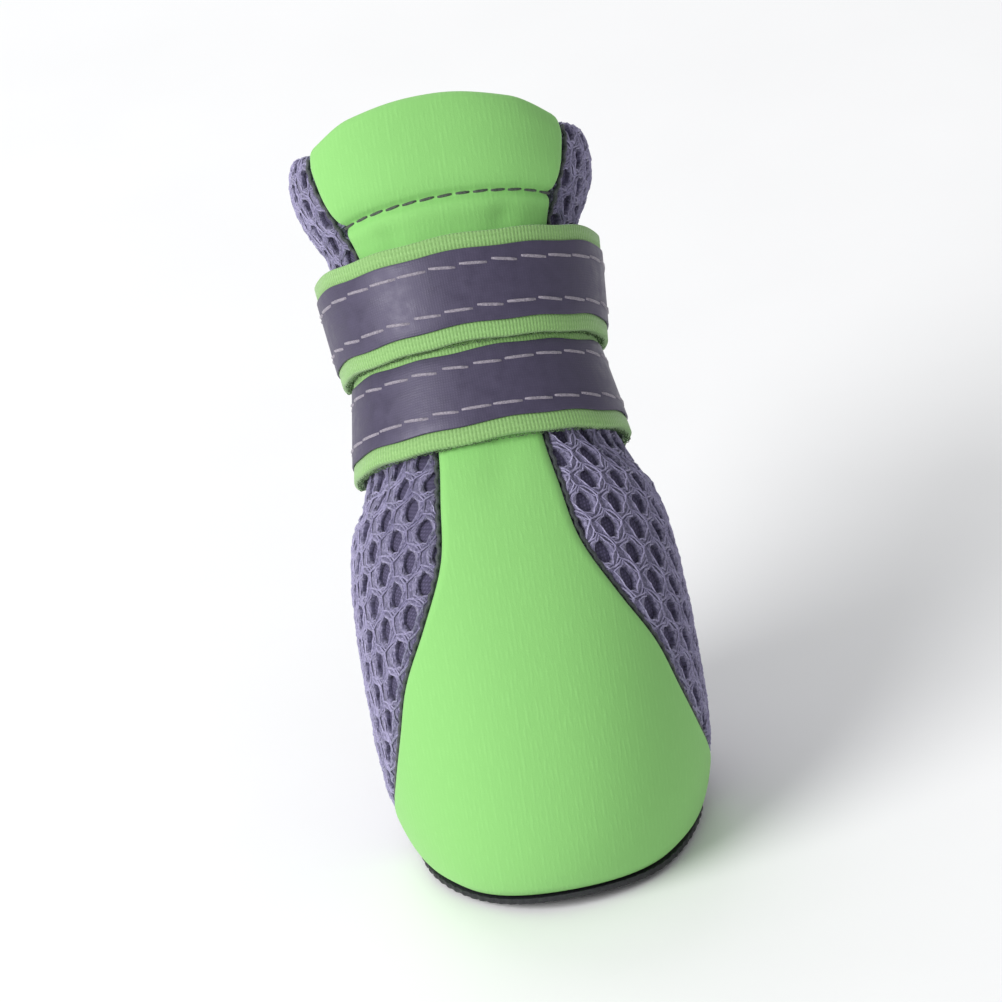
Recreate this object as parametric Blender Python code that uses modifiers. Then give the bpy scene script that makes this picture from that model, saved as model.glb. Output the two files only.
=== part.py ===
"""Dog boot: a stretch neoprene front, an air-mesh body, two hook-and-loop straps with reflective tape, and a black grip
sole. It stands empty on its sole, and its slack shaft leans back as the soft boot rests.

Frame: metres, +Z up. The toe points along -Y and the origin is the middle of the sole's flat underside.
Angles go round the boot, in degrees: 0 at the front, 90 on the +X side, 180 at the back.
"""

import math

import bmesh
import bpy
import numpy as np

# Sole and foot, measured over the outside
SOLE_LENGTH = 0.056
SOLE_WIDTH = 0.0458
SOLE_THICKNESS = 0.0019
SOLE_LIP = 0.0003
TOE_SPRING = 0.0012
PAW_WIDTH = 0.0532
INSOLE_THICKNESS = 0.0018

# Shaft: where its centre line starts at the ankle, and how it stands
ANKLE_BACK = 0.0168
ANKLE_HEIGHT = 0.0572
SHAFT_LEAN = math.radians(38)
SHAFT_WIDTH = 0.0400
SHAFT_DEPTH = 0.0380
COLLAR_HEIGHT = 0.0216

# Walls and clearances
MESH_WALL = 0.0024
LINING = 0.0009
PANEL_THICKNESS = 0.0018
GAP = 0.0003
SEAM_GROOVE = 0.0005

# Straps
STRAP_WIDTH = 0.0176
STRAP_OVERLAP = 0.0015
STRAP_THICKNESS = 0.0016
TAPE_WIDTH = 0.0122
TAPE_THICKNESS = 0.0004
TAB_THICKNESS = 0.0011
TAB_MARGIN = 0.0010
TAB_CURL = 0.0012
STRAP_START = -100.0
STRAP_END = 240.0
TAB_START = 192.0
TAB_END = 257.0
# How far each strap's lower and upper edge stand off the boot. The upper strap's lower edge lies over the lower strap.
LOWER_STRAP_LOW = 0.0004
LOWER_STRAP_HIGH = 0.0001
UPPER_STRAP_LOW = LOWER_STRAP_HIGH + STRAP_THICKNESS + GAP
UPPER_STRAP_HIGH = 0.0016

# Facets
PANEL_STEPS = 12
BODY_STEPS = 30
STRAP_STEPS = 46
TAB_STEPS = 9
ROWS_PER_SECTION = 1.45
OUTLINE_STEPS = 44

# One row for each section of the foot, from the sole's edge up to just under the ankle. front_up is the share of the
# straight way from the toe's sole edge to the front of the ankle, and toe_bulge how far the front stands out from it,
# as a share of the paw's width. back_up and heel_bulge say the same at the heel. half_width is a share of the paw's
# width, widest_at a share of the section's depth from the back, toe_round and heel_round are the powers of the
# outline's curves, and panel_edge is where the front panel ends, in degrees.
FOOT_COLUMNS = (
    "front_up", "toe_bulge", "back_up", "heel_bulge", "half_width", "widest_at", "toe_round", "heel_round", "panel_edge"
)
FOOT_SECTIONS = (
    (0.000, 0.000, 0.000, 0.000, 0.430, 0.53, 1.98, 2.25, 92.0),
    (0.073, 0.079, 0.065, 0.024, 0.461, 0.53, 2.02, 2.30, 88.0),
    (0.179, 0.154, 0.170, 0.038, 0.487, 0.53, 2.08, 2.35, 80.0),
    (0.309, 0.212, 0.274, 0.039, 0.499, 0.53, 2.12, 2.35, 68.0),
    (0.445, 0.242, 0.391, 0.039, 0.500, 0.53, 2.15, 2.30, 58.0),
    (0.574, 0.239, 0.507, 0.026, 0.500, 0.52, 2.15, 2.30, 49.0),
    (0.696, 0.205, 0.635, 0.015, 0.494, 0.52, 2.15, 2.25, 36.0),
    (0.810, 0.147, 0.763, 0.008, 0.480, 0.51, 2.15, 2.20, 25.5),
    (0.913, 0.073, 0.886, 0.002, 0.448, 0.50, 2.20, 2.20, 22.5),
)

# One row for each section of the shaft, square to its centre line. straps_up and collar_up are shares of the height of
# the two straps and of the collar above them, half_width and half_depth are shares of the shaft's width and depth,
# forward is a share of its depth, and folds is how much of the collar's table of folds the section takes.
SHAFT_COLUMNS = ("straps_up", "collar_up", "half_width", "half_depth", "forward", "roundness", "panel_edge", "folds")
SHAFT_SECTIONS = (
    (0.00, 0.00, 0.508, 0.500, 0.000, 2.20, 23.5, 0.0),
    (0.22, 0.00, 0.480, 0.474, 0.000, 2.20, 26.0, 0.0),
    (0.50, 0.00, 0.440, 0.440, 0.000, 2.20, 33.0, 0.0),
    (0.78, 0.00, 0.464, 0.455, 0.000, 2.20, 42.5, 0.0),
    (1.00, 0.00, 0.494, 0.475, 0.000, 2.20, 50.0, 0.05),
    (1.00, 0.22, 0.512, 0.495, 0.004, 2.20, 52.0, 0.30),
    (1.00, 0.44, 0.552, 0.525, 0.010, 2.25, 53.0, 0.60),
    (1.00, 0.66, 0.583, 0.545, 0.014, 2.30, 54.5, 0.80),
    (1.00, 0.86, 0.590, 0.545, 0.014, 2.35, 56.5, 0.95),
    (1.00, 1.00, 0.576, 0.535, 0.012, 2.35, 58.0, 1.0),
)

# The collar's rim and folds, round the boot: how far the rim lies below the front's, and how far the mesh stands out
# or folds in there, both as shares of the collar's height.
RIM_COLUMNS = ("angle", "drop", "out")
RIM_FOLDS = (
    (0.0, 0.00, 0.000),
    (30.0, 0.09, 0.000),
    (58.0, 0.25, 0.000),
    (85.0, 0.25, 0.020),
    (115.0, 0.34, 0.050),
    (145.0, 0.42, 0.020),
    (166.0, 0.41, 0.040),
    (182.0, 0.36, -0.130),
    (198.0, 0.20, 0.050),
    (218.0, 0.21, -0.045),
    (240.0, 0.14, 0.050),
    (280.0, 0.08, 0.020),
    (303.0, 0.17, 0.000),
    (330.0, 0.04, 0.000),
)

# The shaft's own directions in the boot's side plane, as (y, z)
UP_SHAFT = np.array([math.sin(SHAFT_LEAN), math.cos(SHAFT_LEAN)])
TO_FRONT = np.array([-math.cos(SHAFT_LEAN), math.sin(SHAFT_LEAN)])
ANKLE = np.array([ANKLE_BACK, ANKLE_HEIGHT])
UPPER_STRAP_RISE = STRAP_WIDTH - STRAP_OVERLAP
STRAPS_HEIGHT = UPPER_STRAP_RISE + STRAP_WIDTH
FEATHER_Z = SOLE_THICKNESS + GAP
SECTION_FIELDS = (
    "front_y", "front_z", "back_y", "back_z", "half_width", "widest_at", "toe_round", "heel_round", "panel_edge",
    "rise", "folds",
)


def shaft_row(straps_up, collar_up, half_width, half_depth, forward, roundness, panel_edge, folds):
    """One section of the shaft in the boot's frame, with its height along the centre line as its rise."""
    rise = straps_up * STRAPS_HEIGHT + collar_up * COLLAR_HEIGHT
    middle = ANKLE + UP_SHAFT * rise + TO_FRONT * forward * SHAFT_DEPTH
    front = middle + TO_FRONT * half_depth * SHAFT_DEPTH
    back = middle - TO_FRONT * half_depth * SHAFT_DEPTH
    return (*front, *back, half_width * SHAFT_WIDTH, 0.5, roundness, roundness, panel_edge, rise, folds)


def foot_row(ankle, front_up, toe_bulge, back_up, heel_bulge, half_width, widest_at, toe_round, heel_round, panel_edge):
    """One section of the foot in the boot's frame. Its rise is below zero, up to 0 at the ankle."""
    toe = np.array([-SOLE_LENGTH / 2, FEATHER_Z])
    heel = np.array([SOLE_LENGTH / 2, FEATHER_Z])
    front = toe + front_up * (np.array(ankle[0:2]) - toe) - np.array([toe_bulge * PAW_WIDTH, 0])
    back = heel + back_up * (np.array(ankle[2:4]) - heel) + np.array([heel_bulge * PAW_WIDTH, 0])
    wide = SOLE_WIDTH / 2 if front_up == 0 else half_width * PAW_WIDTH
    rise = (back_up - 1) * (ankle[3] - heel[1])
    return (*front, *back, wide, widest_at, toe_round, heel_round, panel_edge, rise, 0.0)


def all_sections():
    shaft = [shaft_row(*row) for row in SHAFT_SECTIONS]
    foot = [foot_row(shaft[0], *row) for row in FOOT_SECTIONS]
    return np.array(foot + shaft)


SECTIONS = all_sections()
TOP_LEVEL = len(SECTIONS) - 1
ANKLE_LEVEL = len(FOOT_SECTIONS)


def smooth(table, at):
    """The rows of a table read at a fractional row, on a smooth curve through them."""
    first = int(min(max(math.floor(at), 0), len(table) - 2))
    t = at - first
    before = table[max(first - 1, 0)]
    start, end = table[first], table[first + 1]
    after = table[min(first + 2, len(table) - 1)]
    pull_in, pull_out = (end - before) / 2, (after - start) / 2
    return (
        (2 * t**3 - 3 * t**2 + 1) * start
        + (t**3 - 2 * t**2 + t) * pull_in
        + (3 * t**2 - 2 * t**3) * end
        + (t**3 - t**2) * pull_out
    )


def section(level):
    return dict(zip(SECTION_FIELDS, smooth(SECTIONS, level)))


def level_at(rise):
    """The level whose section stands this far up the shaft from the ankle."""
    low, high = 0.0, float(TOP_LEVEL)
    for _ in range(40):
        middle = (low + high) / 2
        if section(middle)["rise"] < rise:
            low = middle
        else:
            high = middle
    return high


def rim_at(angle):
    """The rim's drop and fold at this angle, with a cosine ease between the rows of the table."""
    angle %= 360
    rows = [*RIM_FOLDS, (360.0, *RIM_FOLDS[0][1:])]
    for start, end in zip(rows, rows[1:]):
        if angle <= end[0]:
            share = (1 - math.cos(math.pi * (angle - start[0]) / (end[0] - start[0]))) / 2
            return [a + (b - a) * share for a, b in zip(start[1:], end[1:])]
    return list(rows[0][1:])


def spring_at(y, flatness=0.72):
    """How far the toe end of the sole lifts off the ground at y."""
    half = SOLE_LENGTH / 2
    past = max(0.0, (-y - flatness * half) / (half - flatness * half))
    return TOE_SPRING * min(past, 1.2) ** 2


def skin(level, angle):
    """A point of the boot's outer surface, as (x, y, z)."""
    s = section(level)
    front = np.array([s["front_y"], s["front_z"]])
    back = np.array([s["back_y"], s["back_z"]])
    turn = math.radians(angle)
    forward, sideways = math.cos(turn), math.sin(turn)
    power = 2 / (s["toe_round"] if forward >= 0 else s["heel_round"])
    reach = abs(forward) ** power * (1 - s["widest_at"] if forward >= 0 else -s["widest_at"])
    x = math.copysign(abs(sideways) ** power, sideways) * s["half_width"]
    side = back + (front - back) * (s["widest_at"] + reach)
    over = max(0.0, s["rise"] - STRAPS_HEIGHT)
    if s["folds"] > 0:
        drop, out = rim_at(angle)
        side = side - UP_SHAFT * drop * over
        push = out * s["folds"] * COLLAR_HEIGHT
        x += push * sideways
        side = side + TO_FRONT * push * forward
    lift = spring_at(side[0]) * max(0.0, 1 - level / 3)
    return np.array([x, side[0], side[1] + lift])


def surface(level, angle, out=0.0):
    """The outer surface moved out along its normal."""
    step_level, step_angle = 0.05, 1.0
    low, high = max(level - step_level, 0), min(level + step_level, TOP_LEVEL)
    along = skin(high, angle) - skin(low, angle)
    around = skin(level, angle + step_angle) - skin(level, angle - step_angle)
    normal = np.cross(around, along)
    return skin(level, angle) + normal / np.linalg.norm(normal) * out


def clear_scene():
    for item in list(bpy.data.objects):
        bpy.data.objects.remove(item)


def material(name, colour, roughness, metallic=0.0):
    made = bpy.data.materials.new(name)
    made.use_nodes = True
    shader = made.node_tree.nodes["Principled BSDF"]
    shader.inputs["Base Color"].default_value = (*colour, 1.0)
    shader.inputs["Roughness"].default_value = roughness
    shader.inputs["Metallic"].default_value = metallic
    return made


def add_part(name, mesh, finish):
    made = bpy.data.objects.new(name, mesh)
    BOOT.objects.link(made)
    mesh.materials.append(finish)
    mesh.shade_smooth()
    mesh.set_sharp_from_angle(angle=math.radians(40))
    return made


def grid_mesh(name, grid, ring=False):
    """An open sheet through a grid of points. The columns of a ring close on themselves."""
    rows, columns = len(grid), len(grid[0])
    build = bmesh.new()
    points = [[build.verts.new(p) for p in row] for row in grid]
    for r in range(rows - 1):
        for c in range(columns if ring else columns - 1):
            n = (c + 1) % columns
            build.faces.new((points[r][c], points[r][n], points[r + 1][n], points[r + 1][c]))
    mesh = bpy.data.meshes.new(name)
    build.to_mesh(mesh)
    build.free()
    return mesh


def thicken(part, thickness, shares=None):
    """Solidify outwards. shares gives each vertex its share of the thickness."""
    walls = part.modifiers.new("wall", "SOLIDIFY")
    walls.thickness = thickness
    walls.offset = 1.0
    walls.use_even_offset = True
    if shares is not None:
        group = part.vertex_groups.new(name="wall share")
        for index, share in enumerate(shares):
            group.add([index], share, "REPLACE")
        walls.vertex_group = group.name


def stacked(name, rings):
    """A closed solid through a stack of rings with equal counts of points, capped at both ends."""
    build = bmesh.new()
    loops = [[build.verts.new(p) for p in ring] for ring in rings]
    count = len(rings[0])
    for low, high in zip(loops, loops[1:]):
        for c in range(count):
            n = (c + 1) % count
            build.faces.new((low[c], low[n], high[n], high[c]))
    build.faces.new(loops[0])
    build.faces.new(loops[-1])
    bmesh.ops.recalc_face_normals(build, faces=build.faces)
    mesh = bpy.data.meshes.new(name)
    build.to_mesh(mesh)
    build.free()
    return mesh


def levels():
    """The levels of the upper's rows, from the sole's edge to the rim."""
    count = round(TOP_LEVEL * ROWS_PER_SECTION)
    return [TOP_LEVEL * i / count for i in range(count + 1)]


def degrees_for(level, length):
    """The angle that this length takes up at the panel's edge."""
    edge = section(level)["panel_edge"]
    per_degree = np.linalg.norm(skin(level, edge + 1) - skin(level, edge - 1)) / 2
    return length / per_degree


def rim_shape(level):
    """Thins the wall's last row, so that the rim is rounded."""
    return 0.72 if level == TOP_LEVEL else 1.0


def make_upper(finish):
    """The mesh body: one hollow wall from the sole's edge to the collar, with only its lining under the front panel."""
    grid, shares = [], []
    for level in levels():
        edge = section(level)["panel_edge"]
        step = degrees_for(level, SEAM_GROOVE)
        under = [edge * (2 * i / PANEL_STEPS - 1) for i in range(PANEL_STEPS + 1)]
        start, end = edge + step, 360 - edge - step
        body = [start + (end - start) * i / BODY_STEPS for i in range(BODY_STEPS + 1)]
        grid.append([surface(level, angle, -MESH_WALL) for angle in under + body])
        shares += [LINING / MESH_WALL] * len(under) + [rim_shape(level)] * len(body)
    part = add_part("upper", grid_mesh("upper", grid, ring=True), finish)
    thicken(part, MESH_WALL, shares)


def panel_swell(level, across):
    """Share of the front panel's thickness: thin at its sewn edges, pinched at the collar's stitch line, full above."""
    rise = section(level)["rise"]
    edge = 0.62 if across in (0, PANEL_STEPS) else 1.0
    hem_line = STRAPS_HEIGHT + 0.30 * COLLAR_HEIGHT
    if level == TOP_LEVEL:
        return 0.75 * edge
    return edge * (1.12 if rise > hem_line else 0.84)


def make_front_panel(finish):
    """The neoprene front, from the toe up over the instep to the collar. It lies on the upper's lining."""
    grid, shares = [], []
    rows = levels()
    for level in rows:
        edge = section(level)["panel_edge"] - degrees_for(level, SEAM_GROOVE)
        angles = [edge * (2 * i / PANEL_STEPS - 1) for i in range(PANEL_STEPS + 1)]
        grid.append([surface(level, angle, LINING + GAP - MESH_WALL) for angle in angles])
        shares += [panel_swell(level, i) for i in range(len(angles))]
    part = add_part("front_panel", grid_mesh("front_panel", grid), finish)
    thicken(part, PANEL_THICKNESS, shares)


def outline_at(angle, inset, z):
    """A point of the sole's outline at this angle, moved in towards its middle line."""
    flat = skin(0, angle)[:2]
    turn = 1.0
    along = skin(0, angle + turn)[:2] - skin(0, angle - turn)[:2]
    outward = np.array([along[1], -along[0]]) / np.linalg.norm(along)
    x, y = flat - outward * inset
    return (x, y, z + spring_at(y))


def shrunk_ring(share, z):
    return [
        (x * share, y * share, z)
        for x, y, _ in (outline_at(360 * i / OUTLINE_STEPS, 0, 0) for i in range(OUTLINE_STEPS))
    ]


def outline_ring(inset, z):
    return [outline_at(360 * i / OUTLINE_STEPS, inset, z) for i in range(OUTLINE_STEPS)]


def make_sole(finish):
    """The grip sole: flat underneath, turned up at its edge, with a slight toe spring."""
    rings = [
        shrunk_ring(0.70, 0),
        outline_ring(0.80 * SOLE_THICKNESS, 0),
        outline_ring(0.20 * SOLE_THICKNESS, 0.25 * SOLE_THICKNESS),
        outline_ring(-SOLE_LIP, 0.65 * SOLE_THICKNESS),
        outline_ring(0.0, SOLE_THICKNESS),
        outline_ring(MESH_WALL + GAP, SOLE_THICKNESS),
        shrunk_ring(0.70, SOLE_THICKNESS),
    ]
    add_part("sole", stacked("sole", rings), finish)


def make_insole(finish):
    """The padded insole, lying on the sole inside the upper's wall."""
    clear = MESH_WALL + GAP
    base = SOLE_THICKNESS + GAP
    rings = [
        shrunk_ring(0.62, base),
        outline_ring(clear + 0.4 * INSOLE_THICKNESS, base),
        outline_ring(clear, base + 0.4 * INSOLE_THICKNESS),
        outline_ring(clear + 0.4 * INSOLE_THICKNESS, base + INSOLE_THICKNESS),
        shrunk_ring(0.62, base + INSOLE_THICKNESS),
    ]
    add_part("insole", stacked("insole", rings), finish)


def over_tab(angle):
    """How far the strap stands off to pass over its hook tab: 0 before the tab and 1 on it."""
    ramp = 40.0
    share = (angle - (TAB_START - ramp)) / ramp
    share = min(max(share, 0.0), 1.0)
    return share * share * (3 - 2 * share)


def strap_point(low_rise, stand_off, across, angle, lift):
    """A point over a strap's inner face. across runs from 0 at its lower edge to 1 at its upper edge, and lift is the
    distance out from that face. stand_off holds how far the two edges stand off the boot."""
    edges = []
    for share, stand in zip((0.0, 1.0), stand_off):
        level = level_at(low_rise + share * STRAP_WIDTH)
        stand += over_tab(angle) * (TAB_THICKNESS + GAP)
        edges.append([surface(level, angle + turn, GAP + stand) for turn in (-1.0, 0.0, 1.0)])
    low, high = edges
    around = (low[2] - low[0]) * (1 - across) + (high[2] - high[0]) * across
    normal = np.cross(around, high[1] - low[1])
    return low[1] * (1 - across) + high[1] * across + normal / np.linalg.norm(normal) * lift


def strap_angles():
    return [STRAP_START + (STRAP_END - STRAP_START) * i / STRAP_STEPS for i in range(STRAP_STEPS + 1)]


def make_band(name, low_rise, stand_off, shares, lift, thickness, angles, finish):
    grid = [[strap_point(low_rise, stand_off, across, a, lift) for a in angles] for across in shares]
    part = add_part(name, grid_mesh(name, grid), finish)
    thicken(part, thickness)


def make_strap(name, low_rise, stand_off, webbing, tape, hook):
    """One strap: the webbing, the reflective tape sewn along it, and the hook tab under its free end."""
    margin = (STRAP_WIDTH - TAPE_WIDTH) / 2 / STRAP_WIDTH
    make_band(name + "_strap", low_rise, stand_off, (0.0, 1.0), 0.0, STRAP_THICKNESS, strap_angles(), webbing)
    lift = STRAP_THICKNESS + GAP
    shares = (margin, 1 - margin)
    make_band(name + "_reflective_tape", low_rise, stand_off, shares, lift, TAPE_THICKNESS, strap_angles(), tape)
    grid = []
    for across in (TAB_MARGIN, STRAP_WIDTH - TAB_MARGIN):
        level = level_at(low_rise + across)
        row = []
        for i in range(TAB_STEPS + 1):
            angle = TAB_START + (TAB_END - TAB_START) * i / TAB_STEPS
            bare = max(0.0, (angle - STRAP_END) / (TAB_END - STRAP_END))
            row.append(surface(level, angle, GAP + TAB_CURL * bare**2))
        grid.append(row)
    part = add_part(name + "_hook_tab", grid_mesh(name, grid), hook)
    thicken(part, TAB_THICKNESS)


def make_straps():
    webbing = material("green webbing", (0.29, 0.56, 0.10), 0.85)
    tape = material("grey reflective tape", (0.105, 0.090, 0.145), 0.45)
    hook = material("green hook", (0.07, 0.25, 0.03), 0.80)
    make_strap("lower", 0.0, (LOWER_STRAP_LOW, LOWER_STRAP_HIGH), webbing, tape, hook)
    make_strap("upper", UPPER_STRAP_RISE, (UPPER_STRAP_LOW, UPPER_STRAP_HIGH), webbing, tape, hook)


clear_scene()
BOOT = bpy.data.collections.new("dog boot")
bpy.context.scene.collection.children.link(BOOT)
make_sole(material("black grip sole", (0.010, 0.009, 0.014), 0.60))
make_insole(material("grey lining", (0.12, 0.11, 0.16), 0.90))
make_upper(material("grey violet air mesh", (0.17, 0.15, 0.26), 0.90))
make_front_panel(material("green neoprene", (0.30, 0.71, 0.19), 0.75))
make_straps()
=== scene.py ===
"""Looks of the dog boot: air-mesh body, green neoprene front, two taped webbing straps and a dotted grip sole.

Lengths are in metres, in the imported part's frame. Angles go round the boot in degrees: 0 at the front, 90 on the +X
side, 180 at the back. A level is a fractional row of the table of sections, from 0 at the sole's edge to the rim.
"""

import math

import bmesh
import bpy
import numpy as np
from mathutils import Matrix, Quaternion, Vector


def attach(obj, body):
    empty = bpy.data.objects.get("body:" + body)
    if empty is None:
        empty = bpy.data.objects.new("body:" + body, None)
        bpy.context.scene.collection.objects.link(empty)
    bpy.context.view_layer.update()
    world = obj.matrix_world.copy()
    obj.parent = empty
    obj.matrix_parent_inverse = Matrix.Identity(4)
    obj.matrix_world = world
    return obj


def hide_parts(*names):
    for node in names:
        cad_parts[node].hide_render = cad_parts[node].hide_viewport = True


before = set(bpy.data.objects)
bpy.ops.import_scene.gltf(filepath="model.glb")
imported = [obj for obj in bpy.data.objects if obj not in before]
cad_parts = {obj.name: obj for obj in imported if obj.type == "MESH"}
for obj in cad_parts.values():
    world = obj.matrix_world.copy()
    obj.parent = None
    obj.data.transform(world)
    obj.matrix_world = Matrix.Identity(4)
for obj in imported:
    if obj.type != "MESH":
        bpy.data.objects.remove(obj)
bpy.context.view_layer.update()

# ---- The boot's sizes, as in the part's source
SOLE_LENGTH = 0.056
SOLE_WIDTH = 0.0458
SOLE_THICKNESS = 0.0019
SOLE_LIP = 0.0003
TOE_SPRING = 0.0012
PAW_WIDTH = 0.0532
INSOLE_THICKNESS = 0.0018
ANKLE = np.array([0.0168, 0.0572])
SHAFT_LEAN = math.radians(38)
SHAFT_WIDTH = 0.0400
SHAFT_DEPTH = 0.0380
COLLAR_HEIGHT = 0.0216
WALL = 0.0024
GAP = 0.0003
STRAP_WIDTH = 0.0176
STRAP_OVERLAP = 0.0015
STRAP_THICKNESS = 0.0016
TAPE_WIDTH = 0.0122
TAPE_THICKNESS = 0.0004
TAB_THICKNESS = 0.0011
STRAP_START, STRAP_END = -100.0, 240.0
TAB_START, TAB_END = 192.0, 257.0
UPPER_STRAP_RISE = STRAP_WIDTH - STRAP_OVERLAP
STRAPS_HEIGHT = UPPER_STRAP_RISE + STRAP_WIDTH
HEM_RISE = STRAPS_HEIGHT + 0.30 * COLLAR_HEIGHT
FEATHER_Z = SOLE_THICKNESS + GAP
LOWER_STAND = (0.0004, 0.0001)
UPPER_STAND = (LOWER_STAND[1] + STRAP_THICKNESS + GAP, 0.0016)

# front_up, toe_bulge, back_up, heel_bulge, half_width, widest_at, toe_round, heel_round, panel_edge
FOOT_SECTIONS = (
    (0.000, 0.000, 0.000, 0.000, 0.430, 0.53, 1.98, 2.25, 92.0),
    (0.073, 0.079, 0.065, 0.024, 0.461, 0.53, 2.02, 2.30, 88.0),
    (0.179, 0.154, 0.170, 0.038, 0.487, 0.53, 2.08, 2.35, 80.0),
    (0.309, 0.212, 0.274, 0.039, 0.499, 0.53, 2.12, 2.35, 68.0),
    (0.445, 0.242, 0.391, 0.039, 0.500, 0.53, 2.15, 2.30, 58.0),
    (0.574, 0.239, 0.507, 0.026, 0.500, 0.52, 2.15, 2.30, 49.0),
    (0.696, 0.205, 0.635, 0.015, 0.494, 0.52, 2.15, 2.25, 36.0),
    (0.810, 0.147, 0.763, 0.008, 0.480, 0.51, 2.15, 2.20, 25.5),
    (0.913, 0.073, 0.886, 0.002, 0.448, 0.50, 2.20, 2.20, 22.5),
)
# straps_up, collar_up, half_width, half_depth, forward, roundness, panel_edge, folds
SHAFT_SECTIONS = (
    (0.00, 0.00, 0.508, 0.500, 0.000, 2.20, 23.5, 0.0),
    (0.22, 0.00, 0.480, 0.474, 0.000, 2.20, 26.0, 0.0),
    (0.50, 0.00, 0.440, 0.440, 0.000, 2.20, 33.0, 0.0),
    (0.78, 0.00, 0.464, 0.455, 0.000, 2.20, 42.5, 0.0),
    (1.00, 0.00, 0.494, 0.475, 0.000, 2.20, 50.0, 0.05),
    (1.00, 0.22, 0.512, 0.495, 0.004, 2.20, 52.0, 0.30),
    (1.00, 0.44, 0.552, 0.525, 0.010, 2.25, 53.0, 0.60),
    (1.00, 0.66, 0.583, 0.545, 0.014, 2.30, 54.5, 0.80),
    (1.00, 0.86, 0.590, 0.545, 0.014, 2.35, 56.5, 0.95),
    (1.00, 1.00, 0.576, 0.535, 0.012, 2.35, 58.0, 1.0),
)
# angle, drop, out
RIM_FOLDS = np.array((
    (0.0, 0.00, 0.000), (30.0, 0.09, 0.000), (58.0, 0.25, 0.000), (85.0, 0.25, 0.020), (115.0, 0.34, 0.050),
    (145.0, 0.42, 0.020), (166.0, 0.41, 0.040), (182.0, 0.36, -0.130), (198.0, 0.20, 0.050), (218.0, 0.21, -0.045),
    (240.0, 0.14, 0.050), (280.0, 0.13, 0.020), (303.0, 0.17, 0.000), (330.0, 0.05, 0.000), (360.0, 0.00, 0.000),
))
RIM_ROUND = np.concatenate([RIM_FOLDS[-2:-1] - (360, 0, 0), RIM_FOLDS, RIM_FOLDS[1:2] + (360, 0, 0)])
RIM_LEANS = 0.75 * (RIM_ROUND[2:, 1:] - RIM_ROUND[:-2, 1:]) / (RIM_ROUND[2:, :1] - RIM_ROUND[:-2, :1])
UP_SHAFT = np.array([math.sin(SHAFT_LEAN), math.cos(SHAFT_LEAN)])
TO_FRONT = np.array([-math.cos(SHAFT_LEAN), math.sin(SHAFT_LEAN)])

# ---- The soft creases that the cloth carries: from a level and angle to a level and angle, width, and depth inwards
CREASES = (
    (8.8, 150.0, 6.2, 128.0, 0.0022, 0.0011),
    (8.9, 172.0, 6.8, 186.0, 0.0020, 0.0012),
    (8.8, 205.0, 5.9, 224.0, 0.0024, 0.0013),
    (8.9, 238.0, 7.2, 250.0, 0.0020, 0.0009),
    (8.9, 262.0, 7.4, 285.0, 0.0019, 0.0009),
    (8.9, 98.0, 7.3, 76.0, 0.0019, 0.0009),
    (8.7, 120.0, 7.0, 108.0, 0.0018, 0.0007),
    (8.2, 190.0, 5.0, 205.0, 0.0030, -0.0006),
    (3.4, 150.0, 3.0, 205.0, 0.0030, 0.0008),
    (13.2, 128.0, 15.2, 134.0, 0.0020, 0.0011),
    (13.1, 158.0, 15.8, 154.0, 0.0018, 0.0010),
    (13.1, 200.0, 16.2, 207.0, 0.0020, 0.0013),
    (13.1, 232.0, 15.6, 227.0, 0.0019, 0.0010),
    (13.1, 262.0, 14.9, 270.0, 0.0018, 0.0009),
    (13.1, 96.0, 14.9, 92.0, 0.0018, 0.0008),
    (8.9, 6.0, 8.0, -2.0, 0.0032, 0.0004),
    (13.1, 20.0, 13.9, 26.0, 0.0020, 0.0004),
    (13.1, -24.0, 13.8, -28.0, 0.0020, 0.0004),
    (8.95, 50.0, 8.2, 64.0, 0.0016, 0.0010),
    (8.95, 70.0, 8.1, 84.0, 0.0017, 0.0009),
    (8.95, 306.0, 8.3, 298.0, 0.0016, 0.0009),
    (8.95, 288.0, 8.2, 279.0, 0.0017, 0.0009),
)


def shaft_row(straps_up, collar_up, half_width, half_depth, forward, roundness, panel_edge, folds):
    rise = straps_up * STRAPS_HEIGHT + collar_up * COLLAR_HEIGHT
    middle = ANKLE + UP_SHAFT * rise + TO_FRONT * forward * SHAFT_DEPTH
    front = middle + TO_FRONT * half_depth * SHAFT_DEPTH
    back = middle - TO_FRONT * half_depth * SHAFT_DEPTH
    return (*front, *back, half_width * SHAFT_WIDTH, 0.5, roundness, roundness, panel_edge, rise, folds)


def foot_row(ankle, front_up, toe_bulge, back_up, heel_bulge, half_width, widest_at, toe_round, heel_round, panel_edge):
    toe = np.array([-SOLE_LENGTH / 2, FEATHER_Z])
    heel = np.array([SOLE_LENGTH / 2, FEATHER_Z])
    front = toe + front_up * (np.array(ankle[0:2]) - toe) - np.array([toe_bulge * PAW_WIDTH, 0])
    back = heel + back_up * (np.array(ankle[2:4]) - heel) + np.array([heel_bulge * PAW_WIDTH, 0])
    wide = SOLE_WIDTH / 2 if front_up == 0 else half_width * PAW_WIDTH
    rise = (back_up - 1) * (ankle[3] - heel[1])
    return (*front, *back, wide, widest_at, toe_round, heel_round, panel_edge, rise, 0.0)


SHAFT = [shaft_row(*row) for row in SHAFT_SECTIONS]
SECTIONS = np.array([foot_row(SHAFT[0], *row) for row in FOOT_SECTIONS] + SHAFT)
TOP_LEVEL = float(len(SECTIONS) - 1)
ANKLE_LEVEL = float(len(FOOT_SECTIONS))


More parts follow.
